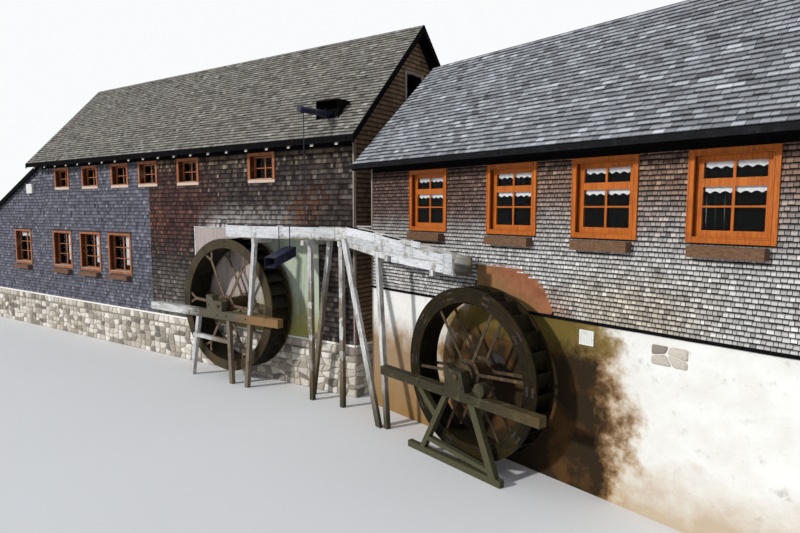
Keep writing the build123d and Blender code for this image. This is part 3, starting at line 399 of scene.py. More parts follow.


# Soles and buckets near black: wet wood, with painted shade inside the wheels
wetShadedTones = [(0.0, 0.003, 0.0025, 0.002), (0.6, 0.012, 0.009, 0.006), (1.0, 0.045, 0.033, 0.018)]
wheelLook("leftWheelWood", leftWheel, [(0.0, 0.010, 0.007, 0.004), (0.45, 0.032, 0.022, 0.010),
                                       (0.8, 0.075, 0.052, 0.022), (1.0, 0.15, 0.115, 0.06)],
          (0.05, 0.042, 0.009))
# The right wheel's tones are darker than the left's: wet wood, and partly painted shade
wheelLook("rightWheelWood", rightWheel, [(0.0, 0.004, 0.003, 0.002), (0.5, 0.012, 0.009, 0.005),
                                         (0.85, 0.035, 0.023, 0.010), (1.0, 0.075, 0.050, 0.022)],
          (0.024, 0.018, 0.003), shine=0.05)
wheelLook("leftWheelWetShadedWood", leftWheel, wetShadedTones, (0.02, 0.019, 0.006))
wheelLook("rightWheelWetShadedWood", rightWheel, wetShadedTones, (0.02, 0.019, 0.006), shine=0.06)

for name, dark, rust, amount, roughness, metallic, shine in (
        ("wheelArmIron", (0.14, 0.098, 0.06), (0.05, 0.028, 0.015), 0.5, 0.6, 0.0, 0.15),
        ("rightArmIron", (0.05, 0.034, 0.02), (0.11, 0.07, 0.03), 0.45, 0.55, 0.0, 0.15),
        ("darkIron", (0.035, 0.032, 0.03), (0.10, 0.045, 0.02), 0.35, 0.55, 0.3, 0.15),
        # Gutters and their straps near black: black metal, partly painted shade under the eave
        ("blackMetalAndShade", (0.004, 0.004, 0.005), (0.011, 0.011, 0.013), 0.4, 0.5, 0.0, 0.06),
        ("navyMetal", (0.020, 0.022, 0.045), (0.05, 0.05, 0.075), 0.4, 0.4, 0.0, 0.15),
        ("paleMetal", (0.72, 0.71, 0.66), (0.55, 0.50, 0.40), 0.3, 0.5, 0.0, 0.15)):
    here = startLook(name, shine=shine)
    feed(shading["shader"], {"Metallic": metallic})
    mask = useGroup(weatherPatch, here, Size=0.12, Amount=amount, Soft=0.12)["Mask"]
    finishLook(mixColour(mask, dark, rust), roughness, noiseAt(here, 90.0, 4.0, 0.6), 0.0015)

# Lime plaster of the short house, stained round the wheel and at the foot; the darkest ring close round the
# wheel is partly painted shade
here = startLook("basementPlaster", shortFrame)
place = parts(here)
blotch, fineBlotch = patchesAt(here, 1.6, 5.0, 0.62), patchesAt(here, 7.0, 5.0, 0.7)
fromWheel = distanceOf(minus(place["X"], 4.9), times(minus(place["Z"], 1.1), 0.8))
stainAndShadeReach = plus(fromWheel, timesPlus(blotch, 2.2, times(fineBlotch, 0.7)))
onFront = remap(place["Y"], 0.3, 0.1)
colour = mixColour(remap(blotch, -0.1, 0.15), (0.77, 0.76, 0.72), (0.70, 0.68, 0.62))
footStain = remap(plus(place["Z"], times(blotch, 2.0)), 1.1, 0.2)
colour = mixColour(times(footStain, 0.8), colour, (0.42, 0.30, 0.17))
damp = useGroup(weatherPatch, here, Size=0.25, Amount=0.2, Soft=0.12)["Mask"]
colour = mixColour(times(damp, 0.45), colour, (0.30, 0.27, 0.22))
# The innermost, darkest ring close round the wheel is partly wet staining and partly painted shade of the wheel
for inner, outer, stainAndShade, strength in (
        (2.75, 2.2, (0.45, 0.32, 0.16), 0.75), (2.55, 2.0, (0.24, 0.115, 0.035), 0.9),
        (2.3, 1.8, (0.014, 0.009, 0.004), 0.96)):
    colour = mixColour(times(times(remap(stainAndShadeReach, inner, outer), strength), onFront), colour, stainAndShade)
rustPatch = useGroup(weatherPatch, here, Size=0.7, Amount=0.45, Soft=0.1)["Mask"]
nearWheel = times(remap(stainAndShadeReach, 2.3, 1.7), onFront)
colour = mixColour(times(rustPatch, times(nearWheel, 0.55)), colour, (0.11, 0.05, 0.012))
ochreBand = times(remap(plus(place["Z"], times(fineBlotch, 0.8)), 2.4, 2.8),
                  times(remap(stainAndShadeReach, 2.75, 2.2), onFront))
colour = mixColour(times(ochreBand, 0.7), colour, (0.17, 0.12, 0.025))
sideStain = times(remap(timesPlus(blotch, 1.2, place["X"]), 3.2, 2.4),
                  remap(timesPlus(blotch, 1.4, place["Z"]), 2.5, 1.8))
colour = mixColour(times(sideStain, times(onFront, 0.85)), colour, (0.22, 0.105, 0.014))
finishLook(colour, 0.9, timesPlus(noiseAt(here, 30.0, 4.0, 0.6), 0.3, noiseAt(here, 4.0, 4.0, 0.5)), 0.02)

# Rendered panel behind the left wheel, pink-grey at the left and green at the right
here = startLook("wheelPanel")
place, blotch = parts(here), patchesAt(here, 1.3, 5.0, 0.6)
colour = mixColour(remap(plus(place["X"], blotch), -4.2, -2.6), (0.40, 0.335, 0.305), (0.42, 0.47, 0.355))
lowGreen = remap(plus(place["Z"], times(blotch, 2.2)), 2.5, 1.8)
colour = mixColour(times(lowGreen, 0.8), colour, (0.30, 0.26, 0.03))
grime = useGroup(runStreak, here, Wide=0.12, Long=1.6, Amount=0.45)["Mask"]
colour = mixColour(times(grime, 0.35), colour, (0.13, 0.12, 0.10))
finishLook(colour, 0.85, noiseAt(here, 14.0, 5.0, 0.6), 0.01)

# Rusted splash sheet
here = startLook("splashRust", shortFrame)
place, blotch = parts(here), patchesAt(here, 2.6, 5.0, 0.6)
colour = mixColour(remap(blotch, -0.12, 0.12), (0.20, 0.065, 0.028), (0.31, 0.125, 0.058))
olive = remap(plus(minus(place["Z"], times(place["X"], -0.55)), blotch), 6.35, 5.95)
colour = mixColour(times(olive, 0.65), colour, (0.23, 0.155, 0.05))
runs = useGroup(runStreak, here, Wide=0.05, Long=0.8, Amount=0.4)["Mask"]
colour = mixColour(times(runs, 0.4), colour, (0.20, 0.05, 0.03))
finishLook(colour, 0.5, noiseAt(here, 25.0, 4.0, 0.6), 0.003)

# Rubble: each stone its own tone, lime mortar between
here = startLook("rubbleStone")
colour = rampOf(ownValue("tone"), [(0.0, 0.16, 0.14, 0.12), (0.35, 0.38, 0.33, 0.27), (0.7, 0.58, 0.53, 0.45),
                                   (1.0, 0.76, 0.72, 0.65)])
speck = noiseAt(here, 22.0, 5.0, 0.65)
finishLook(mixColour(remap(speck, 0.55, 0.75), colour, (0.20, 0.18, 0.15)), 0.9, speck, 0.012)

here = startLook("limeMortar")
speck = noiseAt(here, 18.0, 5.0, 0.65)
finishLook(mixColour(remap(speck, 0.35, 0.7), (0.26, 0.22, 0.17), (0.48, 0.43, 0.35)), 0.95, speck, 0.01)

here = startLook("whiteLedge")
colour = mixColour(noiseAt(here, 6.0, 4.0), (0.78, 0.76, 0.70), (0.90, 0.88, 0.83))
finishLook(colour, 0.8, noiseAt(here, 40.0), 0.003)

here = startLook("windowPane", shine=0.5)
feed(shading["shader"], {"Base Color": (0.008, 0.010, 0.011, 1), "Alpha": 0.10,
                         "Roughness": remap(noiseAt(here, 3.0, 3.0), 0.3, 0.8, 0.01, 0.06)})

here = startLook("laceCloth")
holes = addNode("ShaderNodeTexVoronoi", {"Vector": here, "Scale": 70.0}).outputs["Distance"]
feed(shading["shader"], {"Alpha": remap(holes, 0.10, 0.16, 0.1, 1.0), "Roughness": 0.9,
                         "Base Color": mixColour(noiseAt(here, 12.0), (0.88, 0.88, 0.87), (0.96, 0.96, 0.95))})
print("materials made")

nodeLooks = {
    "limeMortar": "long_plinth",
    "wallBacking": "long_front_wall long_back_wall long_gables lean_walls "
                   "short_front_wall short_back_wall short_gables",
    "floorBoard": "long_floors short_floor",
    "tarAndShadeBoard": "long_roof_front long_roof_back bargeboards lean_roof "
                   "short_roof_front short_roof_back roof_hatch",
    "rafterWood": "long_rafter_tails", "weatheredCasing": "long_lower_windows long_upper_windows",
    "varnishedCasing": "short_windows", "windowPane": "window_glass", "basementPlaster": "short_basement",
    "blackMetalAndShade": "short_gutters", "flowerBoxWood": "flower_boxes", "wheelPanel": "splash_panel",
    "splashRust": "splash_sheet", "paleMetal": "wall_vents", "flumeBoard": "flume_left flume_inlet",
    "flumeBoardTurned": "flume_right", "flumePost": "flume_bearers flume_posts",
    "navyMetal": "bypass_chute hoist_bar", "leftWheelWood": "left_wheel_shrouds",
    "leftWheelWetShadedWood": "left_wheel_sole left_wheel_buckets", "wheelArmIron": "left_wheel_arms",
    "wetLog": "left_wheel_axle right_wheel_axle", "rightWheelWood": "right_wheel_shrouds",
    "rightWheelWetShadedWood": "right_wheel_sole right_wheel_buckets", "rightArmIron": "right_wheel_arms",
    "bearingBeam": "bearing_blocks bearing_beams", "darkIron": "wall_bearings", "trestleLeg": "trestles",
}
for look, names in nodeLooks.items():
    for name in names.split():
        for materialSlot in nodes[name].material_slots:
            materialSlot.material = looks[look]

# Making pieces

toFront, toBack, toLeft, toRight, upwards = (0, -1, 0), (0, 1, 0), (-1, 0, 0), (1, 0, 0), (0, 0, 1)


def sheetPlace(house, origin, right, up=upwards):
    # Local X along the sheet, Y up it, Z out of the wall or roof
    right, up = Vector(right).normalized(), Vector(up).normalized()
    place = Matrix((right, up, right.cross(up))).transposed().to_4x4()
    place.translation = origin
    return house @ place


def addPiece(bm, name, look, body="mill", smooth=False):
    mesh = bpy.data.meshes.new(name)
    bm.to_mesh(mesh)
    bm.free()
    mesh.materials.append(looks[look])
    if smooth:
        mesh.shade_smooth()
    piece = bpy.data.objects.new(name, mesh)
    scene.collection.objects.link(piece)
    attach(piece, body)
    return piece


def joinTo(target, part, place):
    # Puts one bmesh, moved to its place, into another
    part.transform(place)
    held = bpy.data.meshes.new("held")
    part.to_mesh(held)
    part.free()
    target.from_mesh(held)
    bpy.data.meshes.remove(held)


shingleKinds = {
    "slate": {"wide": 0.12, "show": 0.13, "butt": 0.015, "gap": 0.005, "ragged": 0.006, "spread": 0.18},
    "broad": {"wide": 0.105, "show": 0.14, "butt": 0.016, "gap": 0.006, "ragged": 0.008, "spread": 0.20},
    "silver": {"wide": 0.085, "show": 0.082, "butt": 0.018, "gap": 0.010, "ragged": 0.006, "spread": 0.13},
    "gable": {"wide": 0.15, "show": 0.13, "butt": 0.015, "gap": 0.005, "ragged": 0.004, "spread": 0.14},
    "shake": {"wide": 0.18, "show": 0.13, "butt": 0.022, "gap": 0.008, "ragged": 0.012, "spread": 0.17},
}
jointWander = 0.22


def layShingles(target, house, origin, right, width, height, kind, seed, holes=(), cuts=(), up=upwards):
    # Split grid, staggered joints, each shingle lifted at its lower edge and closed behind
    rng, kind = random.Random(seed), shingleKinds[kind]
    wide, gap = kind["wide"], kind["gap"]
    rows = max(1, round(height / kind["show"]))
    rowHigh = height / rows
    columns = math.ceil(width / wide) + 2
    bm = bmesh.new()
    tone = bm.verts.layers.float.new("tone")
    covered = bm.verts.layers.float.new("covered")
    bmesh.ops.create_grid(bm, x_segments=columns, y_segments=rows, size=0.5)
    bmesh.ops.translate(bm, verts=bm.verts, vec=(0.5, 0.5, 0))
    bmesh.ops.split_edges(bm, edges=bm.edges)
    joints = [[(column - 1 + (row % 2) * 0.5 + rng.uniform(-jointWander, jointWander)) * wide
               for column in range(columns + 1)] for row in range(rows)]
    for face in bm.faces:
        centre = face.calc_center_median()
        row, column = int(centre.y * rows), int(centre.x * columns)
        drop = rng.uniform(-kind["ragged"], kind["ragged"])
        ownTone = min(1.0, max(0.0, rng.gauss(0.5, kind["spread"])))
        for vert in face.verts:
            onRight, upper = vert.co.x > centre.x, vert.co.y > centre.y
            vert[tone], vert[covered] = ownTone, 1.0
            vert.co.x = joints[row][column + onRight] + (-gap / 2 if onRight else gap / 2)
            vert.co.y = (row + upper) * rowHigh + (0 if upper or row == 0 else drop)
    inHole = [face for face in bm.faces if any(
        x0 < face.calc_center_median().x < x1 and y0 < face.calc_center_median().y < y1
        for x0, y0, x1, y1 in holes)]
    bmesh.ops.delete(bm, geom=inHole, context="FACES")
    for point, normal in ((0, 0), (-1, 0)), ((width, 0), (1, 0)), *cuts:
        bmesh.ops.bisect_plane(bm, geom=bm.verts[:] + bm.edges[:] + bm.faces[:], plane_co=(*point, 0),
                               plane_no=(*normal, 0), clear_outer=True)
    for face in bmesh.ops.extrude_discrete_faces(bm, faces=bm.faces[:])["faces"]:
        low = int(face.calc_center_median().y / rowHigh) * rowHigh
        lift = kind["butt"] * rng.uniform(0.75, 1.0)
        for vert in face.verts:
            vert[covered] = min(1.0, max(0.0, (vert.co.y - low) / rowHigh))
            vert.co.z += lift * (1 - vert[covered])
    bmesh.ops.remove_doubles(bm, verts=bm.verts, dist=0.0002)
    joinTo(target, bm, sheetPlace(house, origin, right, up))


def roofOver(house):
    # Height of the roof's underside over the front wall, and the roof's pitch
    pitch = (house["ridgeZ"] - house["eaveZ"]) / (house["depth"] / 2 + house["reach"])
    return house["eaveZ"] + house["reach"] * pitch - roofThick * math.hypot(1, pitch), pitch


def windowHoles(centres, sill, head, wide, start, low, way=1, lap=0.03):
    # A window's opening in a sheet's own measures, a little inside its casing
    return [(way * (x - start) - wide / 2 + lap, sill - low + lap, way * (x - start) + wide / 2 - lap,
             head - low - lap) for x in centres]


foot, deep, leanTop = longHouse["plinthTop"], longHouse["depth"], longHouse["leanTop"]
longEnd, seam = -longHouse["length"], -9.35
leanLong, leanSlope = longHouse["leanLength"], longHouse["leanSlope"]
leanEnd = longEnd - leanLong
leanHigh = leanTop - roofThick * math.hypot(1, leanSlope)
leanLow = leanHigh - leanLong * leanSlope
base, shortDeep, shortLong = shortHouse["baseTop"], shortHouse["depth"], shortHouse["length"]
(wallTop, longPitch), (shortTop, shortPitch) = roofOver(longHouse), roofOver(shortHouse)
lowOnes = [longHouse[part] for part in ("lowWindows", "lowSill", "lowHead", "lowWide")]
highOnes = [longHouse[part] for part in ("highWindows", "highSill", "highHead", "highWide")]
shortOnes = [shortHouse[part] for part in ("windows", "sill", "head", "wide")]


def longHoles(start, way=1):
    return windowHoles(*lowOnes, start, foot, way) + windowHoles(*highOnes, start, foot, way)


# Left part of the long house and the lean-to
bm = bmesh.new()
layShingles(bm, longPlace, (longEnd, 0, foot), toRight, seam - longEnd, wallTop - foot, "slate", 11,
            longHoles(longEnd))
layShingles(bm, longPlace, (leanEnd, 0, foot), toRight, leanLong, leanHigh - foot, "slate", 12,
            longHoles(leanEnd), [((0, leanLow - foot), (-leanSlope, 1))])
layShingles(bm, longPlace, (leanEnd, deep, foot), toFront, deep, leanLow - foot, "slate", 13)
layShingles(bm, longPlace, (longEnd, deep, foot), toLeft, leanLong, leanHigh - foot, "slate", 14,
            longHoles(longEnd, -1), [((0, leanHigh - foot), (leanSlope, 1))])
addPiece(bm, "slateShingles", "slateShingle")

# Right part of the long front, and its back
bm = bmesh.new()
panelHole = (-6.81 - seam + 0.08, 0.0, -1.3 - seam - 0.08, 4.56 - foot - 0.08)
layShingles(bm, longPlace, (seam, 0, foot), toRight, -seam, wallTop - foot, "broad", 21,
            [panelHole] + longHoles(seam))
layShingles(bm, longPlace, (0, deep, foot), toLeft, longHouse["length"], wallTop - foot, "broad", 22,
            longHoles(0, -1))
addPiece(bm, "brownShingles", "brownShingle")


def gableCuts(depth, rise, pitch):
    return [((0, rise), (-pitch, 1)), ((depth, rise), (pitch, 1))]


# Gables of the long house, the left one only above the lean-to
bm = bmesh.new()
hatch = {"y0": 2.44, "y1": 3.24, "z0": 8.2, "z1": 9.1, "wide": 0.085, "thick": 0.03, "lap": 0.04}
for x, y, low, right, seed in ((0, 0, foot, toBack, 31), (longEnd, deep, leanTop, toFront, 32)):
    hatchHole = (hatch["y0"] - hatch["lap"], hatch["z0"] - hatch["lap"] - low,
                 hatch["y1"] + hatch["lap"], hatch["z1"] + hatch["lap"] - low)
    layShingles(bm, longPlace, (x, y, low), right, deep, longHouse["ridgeZ"] - low, "gable", seed, [hatchHole],
                gableCuts(deep, wallTop - low, longPitch))
addPiece(bm, "gableShingles", "gableShingle")

# Short house, all four walls; the shingles stop a little inside the splash sheet's outline, in fine steps
bm = bmesh.new()
sheetTops = ((3.73, 0.82), (4.35, 0.86), (4.84, 0.835), (5.29, 0.648), (5.505, 0.46), (5.68, 0.087))
steps, sheetHoles = 6, []
for (x0, top0), (x1, top1) in zip(sheetTops, sheetTops[1:]):
    for step in range(steps):
        sheetHoles.append((x0 + (x1 - x0) * step / steps, 0.0, x0 + (x1 - x0) * (step + 1) / steps,
                           top0 + (top1 - top0) * (step + 0.5) / steps - 0.045))
layShingles(bm, shortPlace, (0, 0, base), toRight, shortLong, shortTop - base, "silver", 41,
            sheetHoles + windowHoles(*shortOnes, 0, base))
layShingles(bm, shortPlace, (shortLong, shortDeep, base), toLeft, shortLong, shortTop - base, "silver", 42,
            windowHoles(*shortOnes, shortLong, base, -1))
for x, y, right, seed in ((shortLong, 0, toBack, 43), (0, shortDeep, toFront, 44)):
    layShingles(bm, shortPlace, (x, y, base), right, shortDeep, shortHouse["ridgeZ"] - base, "silver", seed,
                cuts=gableCuts(shortDeep, shortTop - base, shortPitch))
addPiece(bm, "silverShingles", "silverShingle")

inset = 0.03


def layRoof(target, place, house, ends, pitch, seeds, holes=()):
    # Both slopes, the first row a little inside the eave
    slope = math.hypot(1, pitch)
    lift, verge = inset / slope, house["verge"]
    for x, y, way, seed, opened in (
            (ends[0] - verge, -house["reach"] + lift, 1, seeds[0], holes),
            (ends[1] + verge, house["depth"] + house["reach"] - lift, -1, seeds[1], ())):
        layShingles(target, place, (x, y, house["eaveZ"] + lift * pitch), (way, 0, 0),
                    house["length"] + 2 * verge, slope * (house["depth"] / 2 + house["reach"]) - inset,
                    "shake", seed, opened, up=(0, way, pitch))


bm = bmesh.new()
hatchFrom = longHouse["length"] + longHouse["verge"]
layRoof(bm, longPlace, longHouse, (longEnd, 0), longPitch, (51, 52),
        [(hatchFrom - 1.36, 0.74, hatchFrom - 0.56, 1.46)])
leanFar, verge = leanLong + longHouse["leanReach"], longHouse["leanVerge"]
leanFoot = (longEnd - leanFar + inset, deep + verge, leanTop - leanFar * leanSlope + inset * leanSlope)
layShingles(bm, longPlace, leanFoot, toFront, deep + 2 * verge, (leanFar - inset) * math.hypot(1, leanSlope),
            "shake", 53, up=(1, 0, leanSlope))
addPiece(bm, "longRoofShakes", "roofShake")

bm = bmesh.new()
layRoof(bm, shortPlace, shortHouse, (0, shortLong), shortPitch, (54, 55))
addPiece(bm, "shortRoofShakes", "shortRoofShake")
print("shingles laid")


# Rubble of the long house's base

stones = {"wide": 0.30, "high": 0.19, "proud": 0.035, "wander": 0.32, "fill": (0.93, 0.90, 1), "round": 0.035}


def layStones(target, house, origin, right, width, height, seed):
    rng = random.Random(seed)
    columns, rows = max(1, round(width / stones["wide"])), max(1, round(height / stones["high"]))
    bm = bmesh.new()
    tone = bm.verts.layers.float.new("tone")
    bmesh.ops.create_grid(bm, x_segments=columns, y_segments=rows, size=0.5)
    bmesh.ops.translate(bm, verts=bm.verts, vec=(0.5, 0.5, 0))
    bmesh.ops.scale(bm, verts=bm.verts, vec=(width, height, 1))
    for vert in bm.verts:  # joints wander, but not on the sheet's own edges
        if 0.01 < vert.co.x < width - 0.01:
            vert.co.x += rng.uniform(-stones["wander"], stones["wander"]) * width / columns
        if 0.01 < vert.co.y < height - 0.01:
            vert.co.y += rng.uniform(-stones["wander"], stones["wander"]) * height / rows
    bmesh.ops.split_edges(bm, edges=bm.edges)
    for face in bm.faces[:]:
        bmesh.ops.scale(bm, verts=face.verts, vec=stones["fill"],
                        space=Matrix.Translation(-face.calc_center_median()))
    bmesh.ops.bevel(bm, geom=bm.verts[:], offset=stones["round"], affect="VERTICES", segments=2, profile=0.5,
                    material=-1)
    for face in bm.faces:
        ownTone = rng.random()
        for vert in face.verts:
            vert[tone] = ownTone
    faces = bm.faces[:]
    for share, shrink in ((0.7, 0.94), (0.3, 0.72)):
        faces = bmesh.ops.extrude_discrete_faces(bm, faces=faces)["faces"]
        for face in faces:
            out = stones["proud"] * share * rng.uniform(0.6, 1.0)
            bmesh.ops.translate(bm, verts=face.verts, vec=(0, 0, out))
            bmesh.ops.scale(bm, verts=face.verts, vec=(shrink, shrink, 1),
                            space=Matrix.Translation(-face.calc_center_median()))
    joinTo(target, bm, sheetPlace(house, origin, right))


bm = bmesh.new()
footHigh, ledgeLow = longHouse["footHigh"], 1.37
for out, low, high in ((longHouse["footProud"], 0.0, footHigh), (0.0, footHigh, ledgeLow)):
    across, along = deep + 2 * out, -leanEnd + 2 * out
    sides = ((leanEnd - out, -out, toRight, along), (out, deep + out, toLeft, along),
             (out, -out, toBack, across), (leanEnd - out, deep + out, toFront, across))
    for number, (x, y, right, width) in enumerate(sides):
        layStones(bm, longPlace, (x, y, low), right, width, high - low, 61 + number + round(low * 10))
addPiece(bm, "plinthStones", "rubbleStone", smooth=True)

bm = bmesh.new()
layStones(bm, shortPlace, (7.62, 0, 2.62), toRight, 0.62, 0.34, 77)
addPiece(bm, "bareStones", "rubbleStone", smooth=True)
print("stones laid")


# Boards: sawn edges wander a little, each with its own tone

def addBoard(target, place, size, rng, cuts=6, rough=0.003, bevel=0.004):
    # A board from the origin along +X, centred on Y, its back on Z 0
    bm = bmesh.new()
    tone = bm.verts.layers.float.new("tone")
    bmesh.ops.create_cube(bm, size=1.0)
    bmesh.ops.translate(bm, verts=bm.verts, vec=(0.5, 0, 0.5))
    bmesh.ops.scale(bm, verts=bm.verts, vec=size)
    bmesh.ops.bevel(bm, geom=bm.edges[:], offset=bevel, affect="EDGES", segments=1, profile=0.5, material=-1)
    for step in range(1, cuts):
        bmesh.ops.bisect_plane(bm, geom=bm.verts[:] + bm.edges[:] + bm.faces[:],
                               plane_co=(size[0] * step / cuts, 0, 0), plane_no=(1, 0, 0))
    ownTone = rng.random()
    for vert in bm.verts:
        vert[tone] = ownTone
        vert.co.y += rng.uniform(-rough, rough)
        if vert.co.z > size[2] / 2:
            vert.co.z -= rng.uniform(0, rough)
    joinTo(target, bm, place)


boardDraws = random.Random(5)


def boardAlong(target, house, start, end, outward, wide, thick, **shape):
    # A board whose back's middle line runs from start to end
    start, out = Vector(start), Vector(outward).normalized()
    along = Vector(end) - start
    place = Matrix((along.normalized(), out.cross(along.normalized()), out)).transposed().to_4x4()
    place.translation = start
    addBoard(target, house @ place, (along.length, wide, thick), boardDraws, **shape)


def addDiscs(target, place, spots, radius, high):
    # Nail or bolt heads standing on local Z 0
    for x, y in spots:
        head = bmesh.new()
        bmesh.ops.create_cone(head, cap_ends=True, segments=6, radius1=radius, radius2=radius * 0.8, depth=high)
        joinTo(target, head, place @ Matrix.Translation((x, y, high / 2)))


# Corner boards, first along the fronts and backs, then on the ends
bm = bmesh.new()
corner = {"wide": 0.05, "thick": 0.026}
half, underRoof = corner["wide"] / 2, 0.02
ends = ((longPlace, 0, foot, wallTop, deep, toRight), (shortPlace, 0, base, shortTop, shortDeep, toLeft),
        (shortPlace, shortLong, base, shortTop, shortDeep, toRight))
for house, x, low, high, y1, side in ends:
    x -= half * side[0]
    for y, outward in ((0, toFront), (y1, toBack)):
        boardAlong(bm, house, (x, y, low), (x, y, high - underRoof), outward, **corner)
for house, x, low, high, y1, side in ends:
    for y in (half, y1 - half):
        boardAlong(bm, house, (x, y, low), (x, y, high - underRoof), side, **corner)
addPiece(bm, "cornerBoards", "cornerBoardWood")


def boardsRound(target, place, x0, x1, depth, z, order, cuts):
    # A ledge round a house
    runs = {toFront: (x0, 0, x1, 0), toBack: (x1, depth, x0, depth), toRight: (x1, 0, x1, depth),
            toLeft: (x0, depth, x0, 0)}
    for outward in order:
        startX, startY, endX, endY = runs[outward]
        boardAlong(target, place, (startX, startY, z), (endX, endY, z), outward, 0.055, 0.045, cuts=cuts)


bm = bmesh.new()
boardsRound(bm, longPlace, leanEnd, 0, deep, foot - 0.036, (toFront, toBack, toRight, toLeft), 40)
addPiece(bm, "plinthLedge", "whiteLedge")

# Black boards under the eaves, painted shadow of the eaves on the wall tops, and the tarred drip board over the
# plaster, whose black line is partly painted shade under the lowest shingles
bm = bmesh.new()
for house, x0, x1, y1, low, high in ((longPlace, longEnd, 0, deep, longHouse["highHead"], wallTop),
                                     (shortPlace, 0, shortLong, shortDeep, shortHouse["head"], shortTop)):
    for y, outward in ((0, toFront), (y1, toBack)):
        boardAlong(bm, house, (x0, y, (low + high) / 2), (x1, y, (low + high) / 2), outward, high - low - 0.01,
                   0.022, cuts=20)
boardsRound(bm, shortPlace, 0, shortLong, shortDeep, base - 0.02, (toFront, toBack, toLeft, toRight), 30)
addPiece(bm, "eaveShadeAndDripBoards", "tarAndShadeBoard")

# Frames round the hatches high in both gables
bm = bmesh.new()
wide, thick = hatch["wide"], hatch["thick"]
for x, outward in ((0, toRight), (longEnd, toLeft)):
    for y in (hatch["y0"] - wide / 2, hatch["y1"] + wide / 2):
        boardAlong(bm, longPlace, (x, y, hatch["z0"] - wide), (x, y, hatch["z1"] + wide), outward, wide, thick)
    for z in (hatch["z0"] - wide / 2, hatch["z1"] + wide / 2):
        boardAlong(bm, longPlace, (x, hatch["y0"], z), (x, hatch["y1"], z), outward, wide, thick)
addPiece(bm, "gableHatchFrames", "cornerBoardWood")

# Pale sills in the deep openings of the long house, dark caps over the lower casings
sills, caps = bmesh.new(), bmesh.new()
opening = {"reveal": 0.15, "casing": 0.047, "lap": 0.095, "sillThick": 0.018, "capOut": 0.035}
sillDeep = opening["reveal"] + opening["casing"]
for centres, sill, head, wide in (lowOnes, highOnes):
    for x in centres:
        for y, way in ((0, -1), (deep, 1)):
            middle, z = y + way * (opening["casing"] - opening["reveal"]) / 2, sill + opening["lap"]
            x0, x1 = x - wide / 2, x + wide / 2
            boardAlong(sills, longPlace, (x0 + opening["lap"], middle, z), (x1 - opening["lap"], middle, z),
                       upwards, sillDeep, opening["sillThick"])
            if centres is lowOnes[0]:
                capY = y + way * opening["capOut"]
                boardAlong(caps, longPlace, (x0 - 0.03, capY, head), (x1 + 0.07, capY, head),
                           (0, way * 0.2, 1), 0.075, 0.012)
addPiece(sills, "windowSills", "paleSill")
addPiece(caps, "dripCaps", "darkIron")

# Boards nailed over the flume's outer side, with thin dark planks along its top
flume = {"low": 4.32, "top": 4.66, "front": -0.916, "turnedFront": -0.893, "start": -4.13, "bend": 0.115,
         "skin": 0.018, "nail": (0.009, 0.006)}
skin, front, turnedFront = flume["skin"], flume["front"], flume["turnedFront"]
middle = (flume["low"] + flume["top"]) / 2
bm, nails = bmesh.new(), bmesh.new()
joints = (flume["start"], -3.02, -1.83, -0.62, flume["bend"] - 0.02)
for x0, x1 in zip(joints, joints[1:]):
    boardAlong(bm, longPlace, (x0 + 0.004, front, middle), (x1 - 0.004, front, middle), toFront, 0.33, skin,
               cuts=12, rough=0.006)
    spots = [(x, y) for x in (0.06, (x1 - x0) / 2, x1 - x0 - 0.06) for y in (0.05, 0.29)]
    addDiscs(nails, sheetPlace(longPlace, (x0, front - skin, flume["low"]), toRight), spots, *flume["nail"])

# On the falling side each board has its own slope: both ends as u and middle height, then width
for u0, z0, u1, z1, wide, extra in (
        (0.125, 4.59, 1.30, 4.475, 0.20, 0), (1.31, 4.455, 2.42, 4.325, 0.19, 0),
        (0.125, 4.40, 1.60, 4.245, 0.165, 0), (1.62, 4.26, 2.66, 4.185, 0.165, 0),
        (2.67, 4.185, 3.62, 4.145, 0.165, 0), (1.93, 4.035, 3.62, 3.922, 0.165, 0),
        (3.63, 4.025, 3.89, 4.015, 0.40, 0.002), (2.63, 4.395, 2.93, 4.365, 0.125, 0.004)):
    start, end = Vector((u0, turnedFront, z0)), Vector((u1, turnedFront, z1))
    boardAlong(bm, shortPlace, start, end, toFront, wide, skin + extra, cuts=12, rough=0.006)
    along = (end - start).normalized()
    face = sheetPlace(shortPlace, start + Vector((0, -skin - extra, 0)), along, Vector(toFront).cross(along))
    spots = [(v, y) for v in (0.05, (end - start).length - 0.05) for y in (-0.04, 0.04)]
    addDiscs(nails, face, spots, *flume["nail"])
addPiece(bm, "flumeCladding", "paleBoard")

bm = bmesh.new()
cap = {"wide": 0.085, "thick": 0.02, "rough": 0.006}
for x0, x1, tilt in ((-4.05, -3.35, 0.15), (-3.2, -2.05, -0.1), (-1.75, -0.5, 0.1)):
    boardAlong(bm, longPlace, (x0, front + 0.02, flume["top"]), (x1, front + 0.03, flume["top"] + 0.004),
               (0, tilt, 1), **cap)
for u0, z0, u1, z1 in ((0.16, 4.692, 1.25, 4.584), (1.62, 4.522, 2.2, 4.452)):
    boardAlong(bm, shortPlace, (u0, turnedFront + 0.01, z0), (u1, turnedFront + 0.015, z1), (0.09, 0, 1), **cap)
addPiece(bm, "flumeCaps", "tarAndShadeBoard")

bm = bmesh.new()
boardAlong(bm, longPlace, (-0.05, 0.12, flume["top"]), (0.78, 0.02, flume["top"]), upwards, 0.16, 0.03)
addPiece(bm, "gapPlank", "paleBoard")

